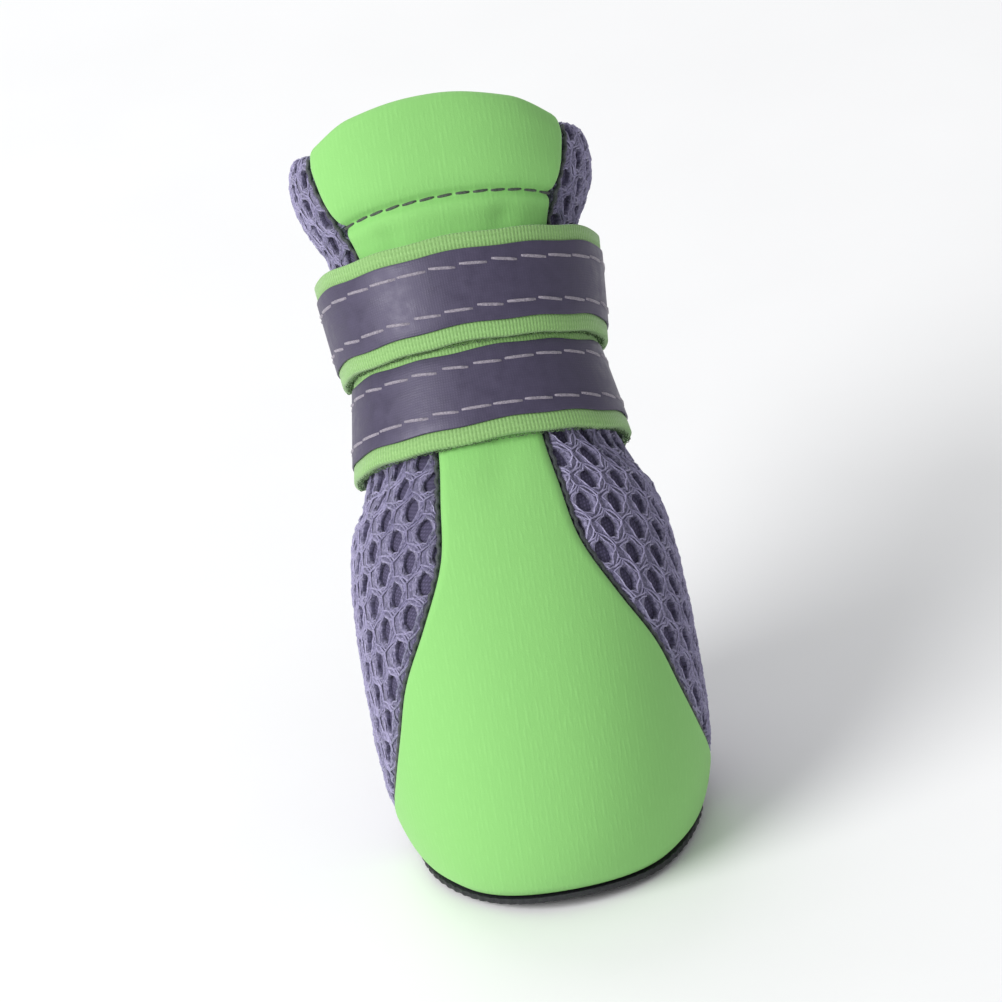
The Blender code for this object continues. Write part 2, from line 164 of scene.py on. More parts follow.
def smooth(table, at):
    """Rows of a table read at fractional rows, on a smooth curve through them."""
    first = np.clip(np.floor(at).astype(int), 0, len(table) - 2)
    t = (at - first)[..., None]
    before, start = table[np.maximum(first - 1, 0)], table[first]
    end, after = table[first + 1], table[np.minimum(first + 2, len(table) - 1)]
    pull_in, pull_out = (end - before) / 2, (after - start) / 2
    return (
        (2 * t**3 - 3 * t**2 + 1) * start
        + (t**3 - 2 * t**2 + t) * pull_in
        + (3 * t**2 - 2 * t**3) * end
        + (t**3 - t**2) * pull_out
    )


def level_at(rise):
    """The level whose section stands this far up the shaft from the ankle."""
    low, high = 0.0, TOP_LEVEL
    for _ in range(40):
        middle = (low + high) / 2
        if smooth(SECTIONS, np.array(middle))[9] < rise:
            low = middle
        else:
            high = middle
    return high


def ease(value, start, end):
    """0 before start and 1 past end, with a soft way between."""
    t = np.clip((value - start) / (end - start), 0, 1)
    return t * t * (3 - 2 * t)


def rim_at(angle):
    """The rim's drop and its swing outwards, on a smooth closed curve through the table."""
    angle = np.mod(angle, 360.0)
    row = np.clip(np.searchsorted(RIM_FOLDS[:, 0], angle, side="left") - 1, 0, len(RIM_FOLDS) - 2)
    start, end = RIM_FOLDS[row], RIM_FOLDS[row + 1]
    wide = (end[..., 0] - start[..., 0])[..., None]
    t = (angle - start[..., 0])[..., None] / wide
    lean_in, lean_out = RIM_LEANS[row] * wide, RIM_LEANS[row + 1] * wide
    made = (
        (2 * t**3 - 3 * t**2 + 1) * start[..., 1:]
        + (t**3 - 2 * t**2 + t) * lean_in
        + (3 * t**2 - 2 * t**3) * end[..., 1:]
        + (t**3 - t**2) * lean_out
    )
    return made[..., 0], made[..., 1]


def spring_at(y, flatness=0.72):
    half = SOLE_LENGTH / 2
    past = np.maximum(0.0, (-y - flatness * half) / (half - flatness * half))
    return TOE_SPRING * np.minimum(past, 1.2) ** 2


def skin(level, angle):
    """Points of the boot's plain outer surface."""
    level, angle = np.broadcast_arrays(np.asarray(level, float), np.asarray(angle, float))
    s = smooth(SECTIONS, level)
    front, back, half_width, widest_at = s[..., 0:2], s[..., 2:4], s[..., 4], s[..., 5]
    rise, folds = s[..., 9], s[..., 10]
    turn = np.radians(angle)
    forward, sideways = np.cos(turn), np.sin(turn)
    power = 2 / np.where(forward >= 0, s[..., 6], s[..., 7])
    reach = np.abs(forward) ** power * np.where(forward >= 0, 1 - widest_at, -widest_at)
    x = np.sign(sideways) * np.abs(sideways) ** power * half_width
    side = back + (front - back) * (widest_at + reach)[..., None]
    drop, out = rim_at(angle)
    folds = np.maximum(folds, 0)
    down = np.where(folds > 0, drop * np.maximum(0, rise - STRAPS_HEIGHT), 0)
    push = out * folds * COLLAR_HEIGHT
    side = side - UP_SHAFT * down[..., None] + TO_FRONT * (push * forward)[..., None]
    x = x + push * sideways
    lift = spring_at(side[..., 0]) * np.maximum(0, 1 - level / 3)
    return np.stack([x, side[..., 0], side[..., 1] + lift], -1)


def unit(v):
    return v / np.maximum(np.linalg.norm(v, axis=-1, keepdims=True), 1e-12)


def directions(level, angle):
    """The outward direction and the direction up the boot at each point of the surface."""
    low, high = np.maximum(level - 0.05, 0), np.minimum(level + 0.05, TOP_LEVEL)
    along = skin(high, angle) - skin(low, angle)
    around = skin(level, angle + 1.0) - skin(level, angle - 1.0)
    return unit(np.cross(around, along)), unit(along)


def surface(level, angle, out=0.0):
    normal, _ = directions(level, angle)
    return skin(level, angle) + normal * np.asarray(out)[..., None]


def crease_lines():
    lines = []
    for level_a, angle_a, level_b, angle_b, width, depth in CREASES:
        t = np.linspace(0, 1, 15)
        points = skin(level_a + (level_b - level_a) * t, angle_a + (angle_b - angle_a) * t)
        lines.append((points, np.sin(np.pi * (0.12 + 0.88 * t)) ** 0.7, width, depth))
    return lines


CREASE_LINES = crease_lines()


def relief(points):
    """How far the creases push the cloth in (below zero) or out at these points."""
    push = np.zeros(points.shape[:-1])
    for line, share, width, depth in CREASE_LINES:
        apart = np.linalg.norm(points[..., None, :] - line, axis=-1)
        push -= depth * np.max(share * np.exp(-((apart / width) ** 2)), axis=-1)
    return push


def cloth(level, angle, out):
    """Points of the creased cloth, its outward directions, and the directions up the boot."""
    base = skin(level, angle)
    normal, up = directions(level, angle)
    return base + normal * (np.asarray(out) + relief(base))[..., None], normal, up


def edge_at(level):
    """The angle at which the front panel is sewn to the mesh, and the length of a degree there."""
    edge = smooth(SECTIONS, np.asarray(level, float))[..., 8]
    return edge, np.linalg.norm(skin(level, edge + 1) - skin(level, edge - 1), axis=-1) / 2


# ---- Meshes
def new_piece(name, points, faces, finish=None, uv=None, marks=None, smooth_angle=50):
    """A mesh object from points and faces, with its cloth UV map and named point values."""
    mesh = bpy.data.meshes.new(name)
    mesh.from_pydata([tuple(p) for p in np.asarray(points).reshape(-1, 3)], [], faces)
    if uv is not None:
        layer = mesh.uv_layers.new(name="cloth")
        loops = np.empty(len(mesh.loops), np.int32)
        mesh.loops.foreach_get("vertex_index", loops)
        layer.data.foreach_set("uv", np.asarray(uv, np.float32).reshape(-1, 2)[loops].ravel())
    for key, values in (marks or {}).items():
        values = np.asarray(values, np.float32)
        kind, field = ("FLOAT_VECTOR", "vector") if values.shape[-1] == 3 else ("FLOAT", "value")
        mesh.attributes.new(key, kind, "POINT").data.foreach_set(field, values.ravel())
    mesh.validate()
    mesh.update()
    piece = bpy.data.objects.new(name, mesh)
    bpy.context.scene.collection.objects.link(piece)
    if finish is not None:
        mesh.materials.append(finish)
    if faces:
        mesh.shade_smooth()
        mesh.set_sharp_from_angle(angle=math.radians(smooth_angle))
    return piece


def grid_faces(rows, columns, ring=False, first=0, flip=False):
    faces = []
    for r in range(rows - 1):
        for c in range(columns if ring else columns - 1):
            n = (c + 1) % columns
            quad = (first + r * columns + c, first + r * columns + n, first + (r + 1) * columns + n, first + (r + 1) * columns + c)
            faces.append(quad[::-1] if flip else quad)
    return faces


def shell_faces(rows, columns, ring=False):
    """Faces of a closed layer: an outer grid, an inner grid behind it, and the walls along their free edges."""
    far = rows * columns
    faces = grid_faces(rows, columns, ring) + grid_faces(rows, columns, ring, far, True)
    for c in range(columns if ring else columns - 1):
        n = (c + 1) % columns
        top, bottom = (rows - 1) * columns, 0
        faces.append((top + c, top + n, far + top + n, far + top + c))
        faces.append((bottom + n, bottom + c, far + bottom + c, far + bottom + n))
    if not ring:
        for r in range(rows - 1):
            a, b = r * columns, (r + 1) * columns
            faces.append((a, b, far + b, far + a))
            faces.append((b + columns - 1, a + columns - 1, far + a + columns - 1, far + b + columns - 1))
    return faces


def layer(name, outer, inner, finish, uv, marks=None, round_length=None):
    """A closed layer of cloth. One that goes all round gives the length of each of its rows, for the map's last column."""
    rows, columns = outer.shape[:2]
    ring = round_length is not None
    points = np.concatenate([outer.reshape(-1, 3), inner.reshape(-1, 3)])
    both = np.concatenate([uv.reshape(-1, 2), uv.reshape(-1, 2)])
    piece = new_piece(name, points, shell_faces(rows, columns, ring), finish, both, marks)
    if ring:
        cloth_uv = piece.data.uv_layers["cloth"].data
        for face in piece.data.polygons:
            places = [(loop, piece.data.loops[loop].vertex_index) for loop in face.loop_indices]
            if max(vertex % columns for _, vertex in places) == columns - 1:
                for loop, vertex in places:
                    if vertex % columns == 0:
                        cloth_uv[loop].uv[0] += round_length[vertex // columns % rows]
    return piece


def tube_faces(stations, around):
    """Faces of a closed tube with a cap at each end."""
    faces = [f[::-1] for f in grid_faces(stations, around, ring=True)]
    faces.append(tuple(range(around)))
    faces.append(tuple(reversed(range((stations - 1) * around, stations * around))))
    return faces


def flat_layout(points, normal, up, middle):
    """Where a grid of cloth lies once spread flat, its threads' way up the boot along v, by least squares."""
    side = np.cross(up, normal)
    pulls = []
    for axis in (0, 1):
        step = np.diff(points, axis=axis)
        first, second = (slice(None, -1), slice(1, None))
        pick = (lambda grid, part: grid[part]) if axis == 0 else (lambda grid, part: grid[:, part])
        rights = unit(pick(side, first) + pick(side, second))
        ups = unit(pick(up, first) + pick(up, second))
        pulls.append(np.stack([(step * rights).sum(-1), (step * ups).sum(-1)], -1))
    tall, wide = (np.linalg.norm(pull, axis=-1) for pull in pulls)
    tall_there = np.pad(tall, ((1, 1), (0, 0)), mode="edge")
    wide_there = np.pad(wide, ((0, 0), (1, 1)), mode="edge")
    tall_here = (tall_there[1:] + tall_there[:-1]) / 2
    wide_here = (wide_there[:, 1:] + wide_there[:, :-1]) / 2
    weights = (
        ((wide_here[1:] + wide_here[:-1]) / 2 / np.maximum(tall, 1e-5))[..., None],
        ((tall_here[:, 1:] + tall_here[:, :-1]) / 2 / np.maximum(wide, 1e-5))[..., None],
    )

    def gathered(rows_part, columns_part):
        total = np.zeros(points.shape[:2] + (2,))
        total[1:] += rows_part
        total[:-1] -= rows_part
        total[:, 1:] += columns_part
        total[:, :-1] -= columns_part
        return total

    along = np.cumsum(pulls[1], axis=1)
    along = np.concatenate([np.zeros_like(along[:, :1]), along], 1)
    back = np.concatenate([np.zeros((1, 2)), np.cumsum(pulls[0][:, middle], axis=0)])
    layout = along - along[:, middle:middle + 1] + back[:, None]
    even = gathered(np.abs(weights[0]) + 0 * pulls[0], 0 * pulls[1]) * 0
    even[1:] += weights[0]
    even[:-1] += weights[0]
    even[:, 1:] += weights[1]
    even[:, :-1] += weights[1]
    wanted = gathered(weights[0] * pulls[0], weights[1] * pulls[1])
    pull = lambda grid: gathered(weights[0] * np.diff(grid, axis=0), weights[1] * np.diff(grid, axis=1))
    left = wanted - pull(layout)
    eased = left / even
    way = eased
    size = (left * eased).sum((0, 1))
    for _ in range(500):
        pulled = pull(way)
        share = size / np.maximum((way * pulled).sum((0, 1)), 1e-30)
        layout = layout + share * way
        left = left - share * pulled
        eased = left / even
        size, before = (left * eased).sum((0, 1)), size
        way = eased + way * size / np.maximum(before, 1e-30)
    return layout


def lengths_from(points, axis, start):
    """The distance along an axis of a grid of points, from its row or column numbered start."""
    steps = np.linalg.norm(np.diff(points, axis=axis), axis=-1)
    steps = np.concatenate([np.zeros_like(np.take(steps, [0], axis=axis)), steps], axis=axis)
    total = np.cumsum(steps, axis=axis)
    return total - np.take(total, [start], axis=axis)


def join(pieces, name):
    bpy.ops.object.select_all(action="DESELECT")
    for piece in pieces:
        piece.select_set(True)
    bpy.context.view_layer.objects.active = pieces[0]
    bpy.ops.object.join()
    pieces[0].name = pieces[0].data.name = name
    return pieces[0]


# ---- Node trees
def add(tree, kind, inputs=None, **settings):
    """A node with its settings. An input is a number, colour or the like, or a socket to link from."""
    made = tree.nodes.new(kind)
    for key, value in settings.items():
        setattr(made, key, value)
    for key, value in (inputs or {}).items():
        if isinstance(value, bpy.types.NodeSocket):
            tree.links.new(value, made.inputs[key])
        else:
            made.inputs[key].default_value = value
    return made


def calc(tree, operation, *values):
    return add(tree, "ShaderNodeMath", dict(enumerate(values)), operation=operation).outputs[0]


def vector_calc(tree, operation, *values):
    made = add(tree, "ShaderNodeVectorMath", dict(enumerate(values)), operation=operation)
    return made.outputs["Value" if operation in ("DOT_PRODUCT", "LENGTH") else "Vector"]


def geometry_tree(name, sizes):
    """An empty Geometry Nodes tree with a geometry input and output and these named inputs."""
    tree = bpy.data.node_groups.new(name, "GeometryNodeTree")
    tree.interface.new_socket("Geometry", in_out="INPUT", socket_type="NodeSocketGeometry")
    tree.interface.new_socket("Geometry", in_out="OUTPUT", socket_type="NodeSocketGeometry")
    for key, kind in sizes:
        tree.interface.new_socket(key, in_out="INPUT", socket_type="NodeSocket" + kind)
    return tree, tree.nodes.new("NodeGroupInput").outputs


def end_tree(tree, geometry, material):
    """Realizes the instances, shades them smooth and sets their material."""
    real = add(tree, "GeometryNodeRealizeInstances", {0: geometry})
    round_off = add(tree, "GeometryNodeSetShadeSmooth", {0: real.outputs[0]})
    dressed = add(tree, "GeometryNodeSetMaterial", {0: round_off.outputs[0], "Material": material})
    out = tree.nodes.new("NodeGroupOutput")
    tree.links.new(dressed.outputs[0], out.inputs[0])


def grown(name, tree, guide, sizes):
    """Runs a tree on its guide, keeps the result as a plain mesh piece, and removes the guide."""
    run = guide.modifiers.new(tree.name, "NODES")
    run.node_group = tree
    sockets = {s.name: s.identifier for s in tree.interface.items_tree if s.in_out == "INPUT"}
    for key, value in sizes.items():
        run[sockets[key]] = value
    graph = bpy.context.evaluated_depsgraph_get()
    mesh = bpy.data.meshes.new_from_object(guide.evaluated_get(graph))
    guide.modifiers.remove(run)
    bpy.data.objects.remove(guide)
    mesh.name = name
    piece = bpy.data.objects.new(name, mesh)
    bpy.context.scene.collection.objects.link(piece)
    return piece


# ---- Finishes
def finish(name, colour, roughness, **sockets):
    made = bpy.data.materials.new(name)
    made.use_nodes = True
    shader = made.node_tree.nodes["Principled BSDF"]
    shader.inputs["Base Color"].default_value = (*colour, 1)
    shader.inputs["Roughness"].default_value = roughness
    for key, value in sockets.items():
        shader.inputs[key.replace("_", " ")].default_value = value
    return made, made.node_tree, shader


def cloth_map(tree, turn=(0, 0, 0)):
    """The cloth's own UV map in millimetres."""
    uv = add(tree, "ShaderNodeUVMap", uv_map="cloth")
    return add(tree, "ShaderNodeMapping", {"Vector": uv.outputs[0], "Scale": (1000, 1000, 1000), "Rotation": turn}).outputs[0]


def ripple(tree, value, pitch, phase=0.0):
    """A sine along a length in millimetres, from 0 to 1."""
    turned = calc(tree, "MULTIPLY_ADD", value, 2 * math.pi / pitch, phase)
    return calc(tree, "MULTIPLY_ADD", calc(tree, "SINE", turned), 0.5, 0.5)


def noise(tree, vector, scale, detail=3.0, rough=0.55):
    made = add(tree, "ShaderNodeTexNoise", {"Vector": vector, "Scale": scale, "Detail": detail, "Roughness": rough})
    return made.outputs["Fac"]


def ramp(tree, value, *stops):
    made = add(tree, "ShaderNodeValToRGB", {"Fac": value})
    marks = made.color_ramp.elements
    while len(marks) < len(stops):
        marks.new(0.5)
    for mark, (at, colour) in zip(marks, stops):
        mark.position, mark.color = at, (*colour, 1)
    return made.outputs["Color"]


def bump(tree, shader, height, distance, strength=1.0):
    made = add(tree, "ShaderNodeBump", {"Height": height, "Distance": distance, "Strength": strength})
    tree.links.new(made.outputs[0], shader.inputs["Normal"])


def neoprene():
    """Knit-faced neoprene: fine ribs that show in short dashes, small knit loops, and a soft nap."""
    made, tree, shader = finish("green neoprene", (0.225, 0.535, 0.145), 0.80, Sheen_Weight=0.22, Sheen_Roughness=0.6)
    shader.inputs["Sheen Tint"].default_value = (0.75, 1.0, 0.6, 1)
    place = cloth_map(tree, (0, 0, math.radians(2)))
    across = add(tree, "ShaderNodeSeparateXYZ", {0: place})
    wander = noise(tree, vector_calc(tree, "MULTIPLY", place, (0.30, 0.05, 1)), 1.0, 2)
    ribs = ripple(tree, calc(tree, "MULTIPLY_ADD", wander, 0.3, across.outputs[0]), 0.82)
    dashes = noise(tree, vector_calc(tree, "MULTIPLY", place, (1.1, 0.40, 1)), 1.0, 2)
    shown = ramp(tree, dashes, (0.42, (0.05,) * 3), (0.66, (1,) * 3))
    loops = ripple(tree, calc(tree, "MULTIPLY_ADD", ribs, 0.16, across.outputs[1]), 0.52)
    fuzz = noise(tree, place, 5.5, 4, 0.7)
    raised = calc(tree, "MULTIPLY", calc(tree, "MULTIPLY_ADD", ribs, 0.8, calc(tree, "MULTIPLY", loops, 0.2)), shown)
    bump(tree, shader, calc(tree, "MULTIPLY_ADD", fuzz, 0.9, raised), 0.000035, 0.8)
    # The colour follows the nap's random tone and is lighter on the raised ribs and loops: painted shade in the rib
    # valleys.
    nap_tone_and_rib_shade = calc(tree, "MULTIPLY_ADD", fuzz, 0.65, calc(tree, "MULTIPLY", raised, 0.22))
    colour = ramp(tree, nap_tone_and_rib_shade, (0.10, (0.215, 0.520, 0.134)), (0.75, (0.250, 0.580, 0.164)))
    tree.links.new(colour, shader.inputs["Base Color"])
    return made


def air_mesh():
    """Knitted spacer mesh: pale yarn rings round the holes, with fine dark gaps between their threads."""
    made, tree, shader = finish("grey violet air mesh", (0.24, 0.22, 0.36), 0.82, Sheen_Weight=0.2)
    place = cloth_map(tree)
    across = add(tree, "ShaderNodeAttribute", attribute_name="across").outputs["Fac"]
    sway = calc(tree, "MULTIPLY_ADD", noise(tree, place, 1.9, 3), 0.84, -0.42)
    # The rings ramp darkens the yarn towards the hole's wall bottom (across near 0): painted shade down into each hole.
    # The pale rings and the dark dip between them are the yarn's own pattern.
    rings = ramp(
        tree, calc(tree, "ADD", across, sway),
        (0.06, (0.20,) * 3), (0.20, (0.45,) * 3), (0.33, (1,) * 3), (0.50, (0.95,) * 3), (0.66, (0.46,) * 3), (0.80, (0.42,) * 3), (1.0, (0.80,) * 3),
    )
    streaks = ramp(tree, noise(tree, vector_calc(tree, "MULTIPLY", place, (2.9, 1.3, 1)), 1.0, 5, 0.75), (0.36, (0.0,) * 3), (0.62, (1,) * 3))
    strays = ramp(tree, noise(tree, place, 2.4, 5, 0.8), (0.38, (0.1,) * 3), (0.52, (0.8,) * 3), (0.66, (1,) * 3))
    threads = calc(tree, "MULTIPLY_ADD", rings, 0.54, calc(tree, "MULTIPLY", streaks, 0.48))
    tone = calc(tree, "MULTIPLY", threads, calc(tree, "MULTIPLY_ADD", strays, 0.40, 0.62))
    colour = ramp(
        tree, tone, (0.10, (0.045, 0.040, 0.082)), (0.34, (0.122, 0.110, 0.205)), (0.58, (0.225, 0.204, 0.350)), (0.86, (0.400, 0.368, 0.560)),
    )
    tree.links.new(colour, shader.inputs["Base Color"])
    bump(tree, shader, threads, 0.00036, 1.0)
    return made


def backing():
    """The dark floor of the air mesh, with the grey lining on the boot's inside."""
    made, tree, shader = finish("dark mesh floor and lining", (0.03, 0.027, 0.055), 0.9)
    place = cloth_map(tree)
    across = add(tree, "ShaderNodeSeparateXYZ", {0: place})
    weave = calc(tree, "MULTIPLY", ripple(tree, across.outputs[0], 0.62), ripple(tree, across.outputs[1], 0.62))
    fuzz = noise(tree, place, 2.2, 4, 0.7)
    tone = calc(tree, "MULTIPLY_ADD", weave, 0.5, calc(tree, "MULTIPLY", fuzz, 0.6))
    outside = ramp(tree, tone, (0.2, (0.042, 0.036, 0.074)), (0.8, (0.125, 0.110, 0.200)))
    inside = ramp(tree, tone, (0.2, (0.075, 0.070, 0.120)), (0.8, (0.21, 0.20, 0.30)))
    face = add(tree, "ShaderNodeAttribute", attribute_name="inside").outputs["Fac"]
    mixed = add(tree, "ShaderNodeMix", {0: face, 6: outside, 7: inside}, data_type="RGBA")
    tree.links.new(mixed.outputs[2], shader.inputs["Base Color"])
    bump(tree, shader, tone, 0.00015, 0.8)
    return made


def webbing():
    """Green webbing with fine ribs across it."""
    made, tree, shader = finish("green webbing", (0.22, 0.44, 0.13), 0.74, Sheen_Weight=0.3, Sheen_Roughness=0.5)
    place = add(tree, "ShaderNodeSeparateXYZ", {0: cloth_map(tree)})
    along, across = place.outputs[0], place.outputs[1]
    ribs = ripple(tree, along, 0.58)
    plait = ripple(tree, calc(tree, "MULTIPLY_ADD", ribs, 0.30, across), 0.95)
    fuzz = noise(tree, cloth_map(tree), 2.6, 5, 0.7)
    raised = calc(tree, "MULTIPLY_ADD", ribs, 0.72, calc(tree, "MULTIPLY", plait, 0.28))
    # The colour is lighter on the raised ribs: painted shade in the rib valleys, mixed with the fuzz's random tone.
    tone = calc(tree, "MULTIPLY_ADD", raised, 0.30, calc(tree, "MULTIPLY", fuzz, 0.88))
    colour = ramp(tree, tone, (0.22, (0.145, 0.300, 0.080)), (0.55, (0.215, 0.412, 0.125)), (0.85, (0.295, 0.518, 0.186)))
    tree.links.new(colour, shader.inputs["Base Color"])
    bump(tree, shader, calc(tree, "MULTIPLY_ADD", fuzz, 0.8, raised), 0.00008, 0.9)
    return made


def reflective_tape():
    """Satin grey reflective tape: a fine cloth grain, small scuffs, and a slight metal gleam."""
    made, tree, shader = finish("grey reflective tape", (0.065, 0.056, 0.095), 0.48, Metallic=0.2)
    place = cloth_map(tree)
    spots = add(tree, "ShaderNodeSeparateXYZ", {0: place})
    grain = calc(tree, "MULTIPLY", ripple(tree, spots.outputs[0], 0.42), ripple(tree, spots.outputs[1], 0.42))
    scuffs = noise(tree, place, 0.45, 5, 0.6)
    fuzz = noise(tree, place, 4.0, 3, 0.7)
    tone = calc(tree, "MULTIPLY_ADD", scuffs, 0.7, calc(tree, "MULTIPLY_ADD", grain, 0.15, calc(tree, "MULTIPLY", fuzz, 0.2)))
    colour = ramp(tree, tone, (0.25, (0.049, 0.041, 0.078)), (0.75, (0.078, 0.066, 0.120)))
    tree.links.new(colour, shader.inputs["Base Color"])
    tree.links.new(ramp(tree, scuffs, (0.3, (0.38,) * 3), (0.7, (0.58,) * 3)), shader.inputs["Roughness"])
    bump(tree, shader, tone, 0.00012, 0.7)
    return made


def thread(name, dark, light):
    """Twisted sewing thread."""
    made, tree, shader = finish(name, light, 0.6, Sheen_Weight=0.2)
    place = add(tree, "ShaderNodeTexCoord").outputs["Object"]
    twist = noise(tree, vector_calc(tree, "MULTIPLY", place, (1000, 1000, 1000)), 3.5, 3, 0.7)
    tree.links.new(ramp(tree, twist, (0.3, dark), (0.7, light)), shader.inputs["Base Color"])
    bump(tree, shader, twist, 0.00010, 0.8)
    return made


def hook_cloth():
    """Dark green hook fabric."""
    made, tree, shader = finish("dark green hook fabric", (0.05, 0.19, 0.03), 0.75, Sheen_Weight=0.3)
    place = vector_calc(tree, "MULTIPLY", add(tree, "ShaderNodeTexCoord").outputs["Object"], (1000, 1000, 1000))
    fuzz = noise(tree, place, 1.8, 5, 0.75)
    tree.links.new(ramp(tree, fuzz, (0.32, (0.022, 0.085, 0.014)), (0.70, (0.13, 0.33, 0.065))), shader.inputs["Base Color"])
    bump(tree, shader, fuzz, 0.0004, 0.9)
    return made


def grip_rubber():
    """Black rubberised sole cloth."""
    made, tree, shader = finish("black grip sole", (0.010, 0.010, 0.014), 0.5)
    place = vector_calc(tree, "MULTIPLY", add(tree, "ShaderNodeTexCoord").outputs["Object"], (1000, 1000, 1000))
    grain = noise(tree, place, 2.6, 5, 0.7)
    tree.links.new(ramp(tree, grain, (0.3, (0.006, 0.006, 0.009)), (0.7, (0.020, 0.019, 0.026))), shader.inputs["Base Color"])
    tree.links.new(ramp(tree, grain, (0.3, (0.62,) * 3), (0.7, (0.42,) * 3)), shader.inputs["Roughness"])
    bump(tree, shader, grain, 0.0002, 0.6)
    return made


def floor_paint():
    made, tree, shader = finish("pale floor", (0.93, 0.93, 0.93), 0.7)
    place = add(tree, "ShaderNodeTexCoord").outputs["Object"]
    tree.links.new(ramp(tree, noise(tree, place, 14, 3), (0.3, (0.92, 0.92, 0.92)), (0.7, (0.945, 0.945, 0.945))), shader.inputs["Base Color"])
    return made


NEOPRENE, AIR_MESH, BACKING, WEBBING = neoprene(), air_mesh(), backing(), webbing()
TAPE, HOOK, RUBBER, FLOOR = reflective_tape(), hook_cloth(), grip_rubber(), floor_paint()
PALE_THREAD = thread("pale tape thread", (0.13, 0.115, 0.15), (0.38, 0.34, 0.40))
GREY_THREAD = thread("grey bar thread", (0.13, 0.12, 0.15), (0.40, 0.36, 0.41))
DARK_THREAD = thread("dark hem thread", (0.015, 0.025, 0.018), (0.085, 0.10, 0.085))
SEAM_THREAD = thread("dark seam thread", (0.012, 0.016, 0.018), (0.06, 0.07, 0.075))
# Much darker than the webbing: painted shade under the straps' lower edges, carried by the real loose fibres there.
EDGE_FUZZ_WITH_PAINTED_SHADE = thread("edge fuzz darkened as painted shade", (0.03, 0.07, 0.02), (0.10, 0.20, 0.06))
YARN = thread("pale mesh yarn", (0.17, 0.155, 0.27), (0.46, 0.425, 0.63))


# ---- Trees for what repeats
def stitch_tree():
    """Stitches along a line that carries its outward direction as "out"."""
    tree, sizes = geometry_tree("stitches", (
        ("Stitch", "Object"), ("Pitch", "Float"), ("Length", "Float"), ("Thickness", "Float"), ("Slant", "Float"), ("Seed", "Int"),
        ("Thread", "Material"),
    ))
    line = add(tree, "GeometryNodeMeshToCurve", {0: sizes["Geometry"]})
    spots = add(tree, "GeometryNodeCurveToPoints", {0: line.outputs[0], "Length": sizes["Pitch"]}, mode="LENGTH")
    out = add(tree, "GeometryNodeInputNamedAttribute", {"Name": "out"}, data_type="FLOAT_VECTOR").outputs[0]
    laid = add(tree, "FunctionNodeAlignRotationToVector", {"Vector": spots.outputs["Tangent"]}, axis="X")
    faced = add(tree, "FunctionNodeAlignRotationToVector", {"Rotation": laid.outputs[0], "Vector": out}, axis="Z", pivot_axis="X")
    sway = add(tree, "FunctionNodeRandomValue", {2: -0.07, 3: 0.07, "Seed": sizes["Seed"]}, data_type="FLOAT").outputs[1]
    turn = add(tree, "ShaderNodeCombineXYZ", {"Z": calc(tree, "ADD", sizes["Slant"], sway)})
    turned = add(tree, "FunctionNodeRotateRotation", {0: faced.outputs[0], 1: turn.outputs[0]}, rotation_space="LOCAL")
    stitch = add(tree, "GeometryNodeObjectInfo", {"Object": sizes["Stitch"], "As Instance": True})
    uneven = add(tree, "FunctionNodeRandomValue", {2: 0.92, 3: 1.06, "Seed": sizes["Seed"]}, data_type="FLOAT").outputs[1]
    form = add(tree, "ShaderNodeCombineXYZ", {
        "X": calc(tree, "MULTIPLY", sizes["Length"], uneven), "Y": sizes["Thickness"], "Z": sizes["Thickness"],
    })
    sewn = add(tree, "GeometryNodeInstanceOnPoints", {
        "Points": spots.outputs[0], "Instance": stitch.outputs["Geometry"], "Rotation": turned.outputs[0], "Scale": form.outputs[0],
    })
    end_tree(tree, sewn.outputs[0], sizes["Thread"])
    return tree


def thread_tree():
    """One thread swept along a line."""
    tree, sizes = geometry_tree("thread along a line", (("Thickness", "Float"), ("Thread", "Material")))
    line = add(tree, "GeometryNodeMeshToCurve", {0: sizes["Geometry"]})
    ring = add(tree, "GeometryNodeCurvePrimitiveCircle", {"Resolution": 6, "Radius": calc(tree, "MULTIPLY", sizes["Thickness"], 0.5)})
    swept = add(tree, "GeometryNodeCurveToMesh", {0: line.outputs[0], 1: ring.outputs[0], "Fill Caps": True})
    end_tree(tree, swept.outputs[0], sizes["Thread"])
    return tree


